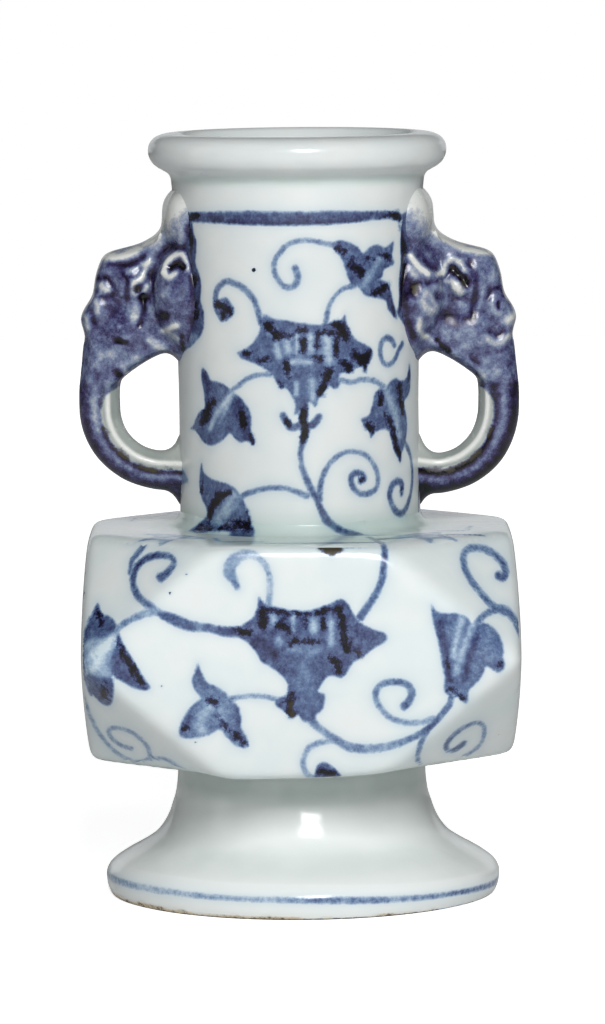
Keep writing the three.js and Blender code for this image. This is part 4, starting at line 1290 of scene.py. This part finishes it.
LEFT_RELIEF = [
    # The ear's looped fold over its hollow
    ([(28.1, 131.2), (27.5, 133.2), (25.9, 134.7), (24.2, 134.9), (23.4, 133.6), (23.1, 132)],
     1.0, 1.1, -0.5),
    ([(28.1, 131), (27.2, 130.3), (25.9, 130.9)], 1.0, 0.8, -0.46),
    ([(27, 132.2), (25.5, 133), (23.8, 132.4)], 1.1, -1.2, 0.42),
    ([(29.4, 134.6), (27, 136.4), (24, 136.6)], 1.2, -0.5, 0.24),
    ([(24.6, 137.4), (24.4, 139.6)], 1.2, 0.4, -0.16),
    # The eye, an S of pale clay round a deep slot
    ([(31.4, 133.2), (32.2, 131.4), (32.9, 129.7), (34.5, 128.8), (35, 127.5), (34.1, 126.5),
      (32.6, 126.8), (31.8, 127.9)], 1.1, 0.9, -0.44),
    ([(33.7, 127.3), (32.8, 126.2)], 1.9, -1.3, 0.42),
    ([(32.6, 125.6), (32.5, 123.4), (33, 121.4), (33.4, 120)], 1.0, -0.7, 0.34),
    ([(36.4, 130.6), (35.7, 128.4), (36, 125.8)], 1.1, -0.6, 0.28),
    ([(36.2, 130.7), (34.4, 131.8), (32.6, 132.7)], 0.8, 0.4, -0.22),
    ([(34.5, 123.2), (34.4, 122)], 2.9, 0.8, -0.22),
    ([(31, 130.6), (30.2, 127.6), (30.6, 125)], 1.4, -0.4, 0.16),
    # The forehead's bumps and creases
    ([(40.2, 127.2), (41.2, 127.9)], 1.6, 0.6, -0.42),
    ([(39, 128.2), (40.2, 130), (42, 129.4)], 0.9, -0.4, 0.26),
    ([(39.2, 126.4), (41, 126)], 0.9, -0.4, 0.24),
    ([(42.4, 124.8), (42.2, 122.6)], 1.0, 0.3, -0.26),
    ([(43.5, 122.8), (43, 120.4)], 0.9, -0.3, 0.18),
    ([(44.8, 121.4), (44.4, 119.2)], 0.9, 0.3, -0.3),
    ([(38.4, 124.4), (37.8, 121), (38.4, 118.6)], 3.0, -0.2, 0.12),
    # Mouth, cheek and jaw
    ([(28, 122), (28.9, 121.9)], 1.7, -0.9, 0.4),
    ([(26.6, 126.2), (29.2, 126.8), (30.8, 124.6), (30.4, 121.6)], 1.5, 0.5, -0.12),
    ([(28.4, 118.7), (27, 119.4), (25.7, 120)], 1.2, 0.8, -0.5),
    ([(26.7, 117.8), (25.2, 116.8)], 1.4, 0.5, -0.3),
    ([(24.5, 117.6), (24.3, 114.8)], 1.0, -0.4, 0.4),
    ([(31.5, 116.8), (30.2, 115.8), (28.6, 115)], 1.5, 0.5, -0.3),
    ([(38.2, 116.7), (36.4, 116.2)], 1.1, -0.4, 0.4),
    ([(37.8, 119.6), (37.6, 119.6)], 0.6, 0.2, -0.3),
    ([(36, 117.6), (38, 114.6), (41, 113.4)], 1.8, 0.4, -0.1),
    ([(34.6, 112.8), (37.4, 112), (41.6, 114)], 2.4, 0.1, -0.12),
    ([(38.6, 109.9), (37.7, 109.3)], 1.5, -0.4, 0.4),
    ([(36.7, 109.7), (35.9, 109.4)], 1.1, 0.4, -0.4),
    # The rim along the top of the head and the dark line under it
    ([(40.9, 134.3), (37.4, 134.3), (34.4, 135.3)], 1.4, 0.4, -0.52),
    ([(33.4, 136), (30.8, 137.5), (29.2, 139.2)], 1.0, 0.3, -0.3),
    ([(39.6, 132.8), (35.6, 132.8), (32.4, 134.4)], 1.1, -0.3, 0.22),
    # The fold where the ear leaves the neck
    ([(22.6, 141), (22.1, 134), (21.7, 128), (21.7, 122), (22.4, 117)], 1.8, -0.4, 0.3),
]
# Lines with more ink than this are burnt black at their middle
BURNT_FROM = 0.39
RELIEF_DEPTH = 0.6
RIDGE = 0.55
# The half widths of a line's swell, of its blue and of its burnt middle, against its width
SWELL_SPREAD = 0.6
TONE_SPREAD = 1.25
BURNT_SPREAD = 0.4
# The relief fades where the surface turns away from its side view
FACING_SIDE = (0.15, 0.7)
# How much less blue lies on what stands out, how much less glaze, and from how far in or out
STAND_PALER = 0.35
STAND_THINNER = 0.8
STAND_LIMITS = (-0.5, 0.2)
COAT_GLAZE = 0.1
# The glaze and painted shade in the bare strip, how much paler its ridge is as a painted highlight, and the
# strip's soft edge
STRIP_GLAZE_AND_SHADE = 0.75
RIDGE_HIGHLIGHT = 1.1
STRIP_EDGE = 0.6
# How much lower the right trunk hangs than the left
RIGHT_SAG = 1.2
# The heights between which the trunk turns into the head, its coat closes over the bare strip,
# and its lower bend ends
TRUNK_TOP = (105.5, 109)
COAT_CLOSES = (101.5, 111)
TRUNK_LOW = (92, 101)
# Where the edge of the coat lies across each trunk, and how much bluer that trunk is
TRUNK_COATS = {"right": (-1.1, 0.12), "left": (-0.4, 0)}
COAT_DEPTH = 3
COAT_LOAD = 0.58
# Across each trunk: the dark line inside the coat's edge, the middle and reach of the paler
# band, a painted highlight, and where it is dark again outside, each with how much the load
# changes there; and the painted shade low on the trunk
DARK_LINE = 0.6
DARK_LINE_LOAD = 0.1
LOW_LINE_LOAD = 0.2
HIGHLIGHT_BAND = (0.9, 0.8)
HIGHLIGHT_BAND_LOAD = 0.22
DARK_OUTSIDE = (1.6, 3)
DARK_OUTSIDE_LOAD = 0.2
LOW_TRUNK_SHADE = 0.1
# Where the coat burnt: patches, more of it low down, less away from the edge of the coat and
# off the trunk, with a rim of rust
BURNT_PATCHES = [(0.3, 0.5, 0.9, 0), (0.2, -1.3, 2.1, 0)]
BURNT_LOW = 0.3
BURNT_FALL = 0.9
BURNT_OFF_TRUNK = 2
RUST_RIM = 0.1
# The heights over which the blue fades on the knob, which slants outwards
KNOB_FADE = (137, 148)
KNOB_PALER = 0.6
KNOB_OUT = 25
KNOB_SLANT = (-4, 4)
SKIN_VOXEL = 0.36
# Distances out between which the handle is wiped into the neck, and a ridge beside the coat
NECK_JOIN = (25, 31)
RIDGE_IN = 1.4
RIDGE_HALF = 0.48
# Where the right trunk hangs lower: below these heights, and from these distances out
SAG_BELOW = (88, 106)
SAG_OUT = (22, 30)


def trunk_side(x, z):
    """How far across the trunk a point lies in side view, towards its outer edge."""
    path = catmull(TRUNK_LINE, steps=6)[:, :2]
    way = np.gradient(path, axis=0)
    way /= np.sqrt((way**2).sum(1))[:, None]
    at = np.stack([x, z], -1)
    nearest = np.zeros(len(at), int)
    best = np.full(len(at), np.inf)
    for i, spot in enumerate(path):
        far = ((at - spot) ** 2).sum(1)
        closer = far < best
        best[closer] = far[closer]
        nearest[closer] = i
    rel = at - path[nearest]
    return -(rel[:, 0] * way[nearest, 1] - rel[:, 1] * way[nearest, 0])


def paint_handle(sheet, lines, coat_edge, trunk_load, x, z):
    """The blue coat of a handle, darker and paler along its relief, bare on knob and inner trunk."""
    across = trunk_side(x, z)
    on_trunk = 1 - smooth(*TRUNK_TOP, z)
    low = 1 - smooth(*TRUNK_LOW, z)
    bare_side = 1 - smooth(*COAT_CLOSES, z)
    coat_depth = bare_side * (across - coat_edge) + (1 - bare_side) * COAT_DEPTH
    sheet.merge(np.arange(len(x)), coat_depth, COAT_LOAD)
    # On the trunk a dark line inside the coat's edge, a paler band that is a painted highlight, dark again
    # outside, and painted shade low down
    dark_line = (DARK_LINE_LOAD + LOW_LINE_LOAD * low) * hump(across, coat_edge + DARK_LINE, DARK_LINE)
    highlight_band = HIGHLIGHT_BAND_LOAD * hump(across, *HIGHLIGHT_BAND)
    dark_outside = DARK_OUTSIDE_LOAD * smooth(*DARK_OUTSIDE, across)
    load = trunk_load + dark_line - highlight_band + dark_outside + LOW_TRUNK_SHADE * low
    sheet.shade += on_trunk * load
    # Black and brown where the coat ran thick along its edge
    patchy = BURNT_LOW * low + waves(BURNT_PATCHES, x, z)
    thick = patchy - BURNT_FALL * np.abs(across - coat_edge) - BURNT_OFF_TRUNK * (1 - on_trunk)
    sheet.burnt = np.maximum(sheet.burnt, thick - RUST_RIM)
    sheet.rust = np.maximum(sheet.rust, thick)
    # The blue fades out over the knob
    sheet.shade -= KNOB_PALER * smooth(*KNOB_FADE, z + np.clip(x - KNOB_OUT, *KNOB_SLANT))
    for line, width, _, ink in lines:
        sheet.tone(line, TONE_SPREAD * width, ink)
        if ink > BURNT_FROM:
            sheet.burn(line, BURNT_SPREAD * width)
    # Brown in the hollows
    sheet.stain([(24.1, 127.8), (24.3, 126.8)], 0.9)
    sheet.stain([(34.2, 128.4), (34.6, 127.2)], 1.2)


def handle_piece(side):
    points, polygons = remeshed(handle_clay(), SKIN_VOXEL, side + "_clay")
    edges = edge_list(polygons)
    points = averaged(points, edges, rounds=10)
    # Wiped smooth where it joins the neck
    wiped = averaged(points, edges, rounds=50)
    points += (1 - smooth(*NECK_JOIN, points[:, 0]))[:, None] * (wiped - points)
    normals = point_normals(points, polygons)
    # Once turned, the left-hand handle shows the camera its other face
    own, other = (RIGHT_RELIEF, LEFT_RELIEF) if side == "right" else (LEFT_RELIEF, RIGHT_RELIEF)
    faces_front = points[:, 1] < 0 if side == "right" else points[:, 1] > 0
    halves = ((own, faces_front), (other, ~faces_front))
    push = np.zeros(len(points))
    at = points[:, [0, 2]]
    for lines, chosen in halves:
        for line, width, height, _ in lines:
            far, _ = along(drawn(line), at)
            push += chosen * RELIEF_DEPTH * height * hump(far, 0, SWELL_SPREAD * width)
    # None of it comes through the wall of the neck
    radius = np.hypot(points[:, 0], points[:, 1])
    points[:, :2] *= (np.maximum(radius, NECK_WALL_MIDDLE) / radius)[:, None]
    # A ridge runs down the trunk between its bare strip and its coat
    coat_edge, trunk_load = TRUNK_COATS[side]
    across = trunk_side(*at.T)
    on_trunk = 1 - smooth(*TRUNK_TOP, at[:, 1])
    ridge = on_trunk * hump(across, coat_edge - RIDGE_IN, RIDGE_HALF)
    push += RIDGE * ridge
    push *= smooth(*FACING_SIDE, np.abs(normals[:, 1]))
    points = averaged(points + normals * push[:, None], edges, rounds=3)
    normals = point_normals(points, polygons)
    # Thin glaze stays pale on what stands out, and thick glaze is dark in the hollows
    broad = averaged(points, edges, rounds=36)
    stand = averaged(((points - broad) * normals).sum(1), edges, rounds=2)
    x, _, z = points.T
    floats = {}
    for lines, chosen in halves:
        sheet = Sheet(points[chosen][:, [0, 2]])
        paint_handle(sheet, lines, coat_edge, trunk_load, x[chosen], z[chosen])
        for key, values in sheet.floats().items():
            floats.setdefault(key, np.zeros(len(points)))[chosen] = values
    floats["load"] = floats["load"] - STAND_PALER * np.clip(stand, *STAND_LIMITS)
    # The bare inner strip of each trunk is painted grey, for the glaze that pools there and the shade on it,
    # and paler along its ridge as a painted highlight
    strip = on_trunk * (1 - smooth(-STRIP_EDGE, STRIP_EDGE, across - coat_edge))
    strip_shade_and_highlight = strip * (STRIP_GLAZE_AND_SHADE - RIDGE_HIGHLIGHT * ridge)
    floats["pool_and_shade"] = np.clip(COAT_GLAZE - STAND_THINNER * stand + strip_shade_and_highlight, 0, 1)
    floats["bare"] = np.zeros(len(points))
    if side == "right":
        low = 1 - smooth(*SAG_BELOW, points[:, 2])
        points[:, 2] -= RIGHT_SAG * low * smooth(*SAG_OUT, points[:, 0])
    points[:, 2] += SHOULDER - MEASURED_SHOULDER
    if side == "left":
        points *= np.array([-1, -1, 1])
    return make_mesh(side + "_elephant_handle", points, polygons, floats)


# Materials


class Nodes:
    """Short ways to build a material's node tree."""

    def __init__(self, material):
        material.use_nodes = True
        self.tree = material.node_tree
        self.tree.nodes.clear()
        self.place = self.add("ShaderNodeTexCoord").outputs["Object"]

    def add(self, kind, **settings):
        node = self.tree.nodes.new(kind)
        for key, value in settings.items():
            setattr(node, key, value)
        return node

    def feed(self, socket, value):
        if isinstance(value, bpy.types.NodeSocket):
            self.tree.links.new(value, socket)
        else:
            socket.default_value = value

    def math(self, operation, a, b=0.0, c=0.0):
        node = self.add("ShaderNodeMath", operation=operation)
        for socket, value in zip(node.inputs, (a, b, c)):
            self.feed(socket, value)
        return node.outputs[0]

    def total(self, *terms):
        """The sum of values, each given alone or as a pair with what it is multiplied by."""
        result = 0.0
        for term in terms:
            value, by = term if isinstance(term, tuple) else (term, 1.0)
            result = self.math("MULTIPLY_ADD", value, by, result)
        return result

    def value(self, name):
        return self.add("ShaderNodeAttribute", attribute_name=name).outputs["Fac"]

    def between(self, value, low, high, bottom=0.0, top=1.0):
        """A soft step from bottom to top as a value goes from low to high."""
        node = self.add("ShaderNodeMapRange", interpolation_type="SMOOTHSTEP")
        for socket, item in zip(node.inputs, (value, low, high, bottom, top)):
            self.feed(socket, item)
        return node.outputs[0]

    def noise(self, per_mm, detail=2.0, rough=0.5):
        """Noise that swings either side of zero."""
        node = self.add("ShaderNodeTexNoise")
        self.feed(node.inputs["Vector"], self.place)
        node.inputs["Scale"].default_value = per_mm / MM
        node.inputs["Detail"].default_value = detail
        node.inputs["Roughness"].default_value = rough
        return self.math("SUBTRACT", node.outputs["Fac"], 0.5)

    def cells(self, per_mm):
        """Distance from the middle of a random cell, and a random value that the cell has."""
        node = self.add("ShaderNodeTexVoronoi")
        self.feed(node.inputs["Vector"], self.place)
        node.inputs["Scale"].default_value = per_mm / MM
        return node.outputs["Distance"], node.outputs["Color"]

    def mix(self, factor, a, b, blend="MIX"):
        node = self.add("ShaderNodeMix", data_type="RGBA", blend_type=blend)
        colours = [s for s in node.inputs if s.type == "RGBA"]
        self.feed(node.inputs["Factor"], factor)
        self.feed(colours[0], a)
        self.feed(colours[1], b)
        return [s for s in node.outputs if s.type == "RGBA"][0]

    def ramp(self, value, stops):
        node = self.add("ShaderNodeValToRGB")
        band = node.color_ramp
        while len(band.elements) < len(stops):
            band.elements.new(0.5)
        for element, (position, colour) in zip(band.elements, stops):
            element.position = position
            element.color = colour
        self.feed(node.inputs[0], value)
        return node.outputs[0]

    def surface(self, shader):
        output = self.add("ShaderNodeOutputMaterial")
        self.feed(output.inputs["Surface"], shader.outputs[0])


def linear(red, green, blue):
    """A colour as seen on screen, 0 to 255, in the linear values that shaders take."""
    out = []
    for value in (red, green, blue):
        share = value / 255
        out.append(share / 12.92 if share <= 0.04045 else ((share + 0.055) / 1.055) ** 2.4)
    return (*out, 1)


# Each glaze as it lies in two usual ways, and where it pools. The neck's copy is darker and the
# foot's paler than the body's, as painted shade and painted light, and the colours of the foot's
# and the handle's pools also give painted shade, under the body and on each trunk's inner strip
BODY_GLAZE = (linear(222, 231, 231), linear(229, 234, 233), linear(184, 201, 196))
SHADED_NECK_GLAZE = (linear(214, 220, 220), linear(220, 224, 222), linear(184, 201, 196))
LIT_FOOT_GLAZE = (linear(238, 242, 240), linear(238, 242, 240), linear(192, 202, 198))
HANDLE_GLAZE = (linear(221, 222, 217), linear(221, 222, 217), linear(132, 142, 138))
BISCUIT = linear(206, 190, 162)
SOILED_AND_SHADED = linear(60, 48, 38)
IRON = linear(84, 74, 40)
SPECK = linear(120, 104, 84)
# What the cobalt lets through, from none of it to the thickest
PIGMENT = [
    (0.0, linear(255, 255, 255)), (0.1, linear(226, 235, 244)), (0.25, linear(184, 201, 224)),
    (0.4, linear(138, 160, 194)), (0.55, linear(98, 116, 158)), (0.7, linear(66, 72, 116)),
    (0.85, linear(34, 32, 62)), (1.0, linear(9, 8, 13)),
]
VIOLET_PIGMENT = [
    (0.0, linear(255, 255, 255)), (0.12, linear(232, 234, 236)), (0.28, linear(182, 188, 206)),
    (0.42, linear(138, 152, 186)), (0.56, linear(102, 110, 154)), (0.7, linear(66, 60, 108)),
    (0.85, linear(34, 24, 58)), (1.0, linear(9, 7, 11)),
]
# How much the load swings with the middle, the fine and the finest noise
BRUSH_MOTTLE = (0.44, 0.3, 0.14)
COAT_MOTTLE = (0.72, 0.3, 0.2)
BRUSH_ROUGH = 0.15
COAT_ROUGH = 0.22
LEAST_LOAD = 0.06
BURNT_INK = 0.46
# The faint blue beside a mark, and how fast it falls off in a millimetre
BLEED = 0.09
BLEED_FALL = 1.2
# Of the random cells, those with a value over this hold an iron speck
SPECK_CHANCE = 0.62
# How strongly specks and rust show, and how much of the rust's colour is iron
SPECK_SHOWS = 0.5
RUST_SHOWS = 0.8
IRON_SHARE = 0.5
GLAZE_IOR = 1.5
RIPPLE_STRENGTH = 0.5
RIPPLE_HEIGHT = 0.35 * MM


def porcelain(name, pigment, glazes, mottle=BRUSH_MOTTLE, rough=BRUSH_ROUGH):
    """Cobalt under a glossy glaze, bare clay, iron specks and the ripples of the surface."""
    material = bpy.data.materials.new(name)
    n = Nodes(material)
    grain = n.noise(per_mm=3.4, detail=2, rough=0.6)
    fine = n.noise(per_mm=1.5, detail=3, rough=0.6)
    middle = n.noise(per_mm=0.55, detail=3, rough=0.6)
    broad = n.noise(per_mm=0.08)

    # Marks of the brush: feathered edges, a grainy load, and a faint bleed into the glaze
    edge = n.value("edge")
    ragged = n.total(edge, (grain, 0.06), (fine, 0.26), (middle, 0.34))
    cover = n.between(ragged, low=-0.46, high=0.42)
    load = n.total(n.value("load"), *zip((middle, fine, grain), mottle))
    ink = n.math("MULTIPLY", cover, n.math("MAXIMUM", load, LEAST_LOAD))
    outside = n.math("MULTIPLY", n.math("MINIMUM", edge, 0.0), BLEED_FALL)
    bleed = n.math("MULTIPLY", n.math("EXPONENT", outside), BLEED)
    ink = n.math("MAXIMUM", ink, bleed)

    # Patches where the cobalt was heaped and burnt black, and on the foot's bottom the painted contact shadow
    heaped = n.total(n.value("burnt"), (middle, 1.8), (fine, 1.4), (grain, 0.5))
    matt = n.between(heaped, low=-0.55, high=0.85)
    ink = n.math("MULTIPLY_ADD", matt, BURNT_INK, ink)
    ink = n.math("MINIMUM", ink, 1.0)

    # The glaze over the white body, darker where it pools and where shade is painted in the same colour, with
    # a few iron specks
    pooled_and_shaded = n.math("MULTIPLY", n.value("pool_and_shade"), n.between(broad, low=-0.2, high=0.2, bottom=0.75, top=1.1))
    clear = n.mix(n.between(broad, low=-0.15, high=0.2), glazes[0], glazes[1])
    clear = n.mix(n.math("MINIMUM", pooled_and_shaded, 1.0), clear, glazes[2])
    far, tint = n.cells(per_mm=0.11)
    rare = n.math("GREATER_THAN", tint, SPECK_CHANCE)
    speck = n.math("MULTIPLY", n.between(far, low=0.012, high=0.03, bottom=1.0, top=0.0), rare)
    shown = n.mix(1.0, clear, n.ramp(ink, pigment), "MULTIPLY")
    shown = n.mix(n.math("MULTIPLY", speck, SPECK_SHOWS), shown, SPECK)

    # Brown where iron came through, and bare clay, soiled in places and darkened at the foot's very bottom
    # with painted contact shadow
    rusted = n.total(n.value("rust"), (middle, 2.0), (fine, 1.2))
    rusty = n.between(rusted, low=-0.2, high=0.7)
    brown = n.mix(IRON_SHARE, shown, IRON)
    shown = n.mix(n.math("MULTIPLY", rusty, RUST_SHOWS), shown, brown)
    bare = n.value("bare")
    clay = n.mix(n.between(n.total(fine, middle), low=-0.05, high=0.3), BISCUIT, SOILED_AND_SHADED)
    clay = n.mix(n.between(heaped, low=-0.5, high=0.5), clay, SOILED_AND_SHADED)
    shown = n.mix(bare, shown, clay)

    # Ripples of the glaze, fine orange peel and pinholes
    pit_far, _ = n.cells(per_mm=0.7)
    pits = n.between(pit_far, low=0.05, high=0.12)
    height = n.total(n.noise(per_mm=0.12), (n.noise(per_mm=0.9), 0.07), (pits, 0.03), (ink, -0.03))
    bump = n.add("ShaderNodeBump")
    bump.inputs["Strength"].default_value = RIPPLE_STRENGTH
    bump.inputs["Distance"].default_value = RIPPLE_HEIGHT
    n.feed(bump.inputs["Height"], height)

    uneven = n.between(middle, low=-0.2, high=0.2, bottom=rough, top=rough + 0.06)
    shader = n.add("ShaderNodeBsdfPrincipled")
    n.feed(shader.inputs["Base Color"], shown)
    n.feed(shader.inputs["Roughness"], n.total(uneven, (bare, 0.5), (matt, 0.1), (rusty, 0.3)))
    shader.inputs["IOR"].default_value = GLAZE_IOR
    n.feed(shader.inputs["Normal"], bump.outputs[0])
    n.surface(shader)
    return material


# Staging, in metres. Each light: name, place, target, width, height, power, whether it lights
# the vase, and whether the glaze mirrors it.
LIGHTS = [
    ("key", (0.15, -1.13, 0.785), (0, 0, 0.07), 0.32, 0.46, 13.0, True, True),
    ("low_front", (0.12, -1.3, 0.36), (0, 0, 0.03), 0.4, 0.3, 2.2, True, False),
    ("high_right", (0.56, -0.77, 1.03), (0, 0, 0.07), 0.3, 0.3, 1.1, True, False),
    ("left_wing", (-1.1, -0.2, 0.45), (0, 0, 0.08), 0.4, 0.9, 0.9, True, True),
    ("back", (0, 1.5, 0.7), (0, 0, 0.08), 1.2, 0.8, 5.2, True, False),
    ("backdrop", (0, 1.5, 0.28), (0, 0, 0.08), 1.8, 0.44, 1.7, False, True),
]
LAMP_LIGHT = (1, 1, 1)
PAPER_LIGHT = (0.95, 0.97, 1)
WHITE = (1, 1, 1, 1)
AROUND_LIGHT = (0.96, 0.98, 1, 1)
AROUND = 0.03
FLOOR_SHADES = (linear(234, 234, 234), linear(238, 238, 238))
FLOOR_GLOW = 0.84
FLOOR_REACH = 1.6

# The camera's place and lens, found from the curves of the lip, the shoulder and the foot
CAMERA_PLACE = (0, -1.342, 0.2159)
CAMERA_OVER_TARGET = 0.1349
CAMERA_ROLL = math.radians(-0.45)
SENSOR_HEIGHT = 36
LENS = 223.9
LENS_SHIFT = (0.0024, -0.0013)


def area_light(name, place, target, width, height, power, lighting, mirrored):
    data = bpy.data.lights.new(name, "AREA")
    data.shape = "RECTANGLE"
    data.size = width
    data.size_y = height
    data.energy = power
    data.color = PAPER_LIGHT if name == "backdrop" else LAMP_LIGHT
    lamp = placed(name, data)
    lamp.location = place
    lamp.rotation_euler = (Vector(target) - Vector(place)).to_track_quat("-Z", "Y").to_euler()
    lamp.visible_diffuse = lighting
    lamp.visible_glossy = mirrored


def studio_world():
    """White where the camera sees it, and dim light from all round."""
    world = bpy.data.worlds.new("studio")
    bpy.context.scene.world = world
    world.use_nodes = True
    tree = world.node_tree
    tree.nodes.clear()
    path = tree.nodes.new("ShaderNodeLightPath")
    seen = tree.nodes.new("ShaderNodeBackground")
    seen.inputs[0].default_value = WHITE
    fill = tree.nodes.new("ShaderNodeBackground")
    fill.inputs[0].default_value = AROUND_LIGHT
    fill.inputs[1].default_value = AROUND
    blend = tree.nodes.new("ShaderNodeMixShader")
    output = tree.nodes.new("ShaderNodeOutputWorld")
    tree.links.new(path.outputs["Is Camera Ray"], blend.inputs[0])
    tree.links.new(fill.outputs[0], blend.inputs[1])
    tree.links.new(seen.outputs[0], blend.inputs[2])
    tree.links.new(blend.outputs[0], output.inputs[0])


def paper_floor():
    """A pale floor that keeps the vase's shadow and otherwise reaches white for the camera."""
    mesh = bpy.data.meshes.new("floor")
    r = FLOOR_REACH
    mesh.from_pydata([(-r, -r, 0), (r, -r, 0), (r, r, 0), (-r, r, 0)], [], [(0, 1, 2, 3)])
    floor = placed("floor", mesh)
    material = bpy.data.materials.new("paper")
    n = Nodes(material)
    matte = n.add("ShaderNodeBsdfDiffuse")
    cloudy = n.between(n.noise(per_mm=0.02, detail=3), low=-0.3, high=0.3)
    n.feed(matte.inputs[0], n.mix(cloudy, *FLOOR_SHADES))
    glow = n.add("ShaderNodeEmission")
    glow.inputs[1].default_value = FLOOR_GLOW
    both = n.add("ShaderNodeAddShader")
    n.feed(both.inputs[0], matte.outputs[0])
    n.feed(both.inputs[1], glow.outputs[0])
    choose = n.add("ShaderNodeMixShader")
    n.feed(choose.inputs[0], n.add("ShaderNodeLightPath").outputs["Is Camera Ray"])
    n.feed(choose.inputs[1], matte.outputs[0])
    n.feed(choose.inputs[2], both.outputs[0])
    n.surface(choose)
    mesh.materials.append(material)


def camera():
    data = bpy.data.cameras.new("camera")
    data.sensor_fit = "VERTICAL"
    data.sensor_height = SENSOR_HEIGHT
    data.lens = LENS
    data.shift_x, data.shift_y = LENS_SHIFT
    view = placed("camera", data)
    tilt = math.atan2(CAMERA_OVER_TARGET, -CAMERA_PLACE[1])
    turn = Matrix.Rotation(math.pi / 2 - tilt, 4, "X") @ Matrix.Rotation(CAMERA_ROLL, 4, "Z")
    view.matrix_world = Matrix.Translation(CAMERA_PLACE) @ turn
    bpy.context.scene.camera = view


def dress(piece, material, nodes):
    piece.data.materials.append(material)
    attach(piece, "root")
    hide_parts(*nodes)


def body_nodes():
    """The slabs that the one skin of the body stands for."""
    nodes = ["floor_slab", "shoulder_slab", "front_wall", "back_wall", "left_wall", "right_wall"]
    for level in ("upper", "lower"):
        for face in ("front", "back"):
            for side in ("left", "right"):
                nodes.append(f"{level}_{face}_{side}_corner")
    return nodes


def main():
    camera()
    studio_world()
    paper_floor()
    for light in LIGHTS:
        area_light(*light)
    glaze = porcelain("painted_porcelain", PIGMENT, BODY_GLAZE)
    # The neck's copy of the glaze is darker, as painted shade, and the foot's paler, as painted light
    shaded_neck_glaze = porcelain("neck_porcelain_shaded", PIGMENT, SHADED_NECK_GLAZE)
    lit_foot_glaze = porcelain("foot_porcelain_lit", PIGMENT, LIT_FOOT_GLAZE)
    coated = porcelain("blue_coated_porcelain", VIOLET_PIGMENT, HANDLE_GLAZE, COAT_MOTTLE, COAT_ROUGH)
    dress(neck_piece(), shaded_neck_glaze, ["neck"])
    dress(body_piece(), glaze, body_nodes())
    dress(foot_piece(), lit_foot_glaze, ["foot"])
    for side in ("left", "right"):
        dress(handle_piece(side), coated, [f"{side}_elephant_head", f"{side}_trunk"])
    bpy.context.scene.view_settings.view_transform = "Standard"


main()
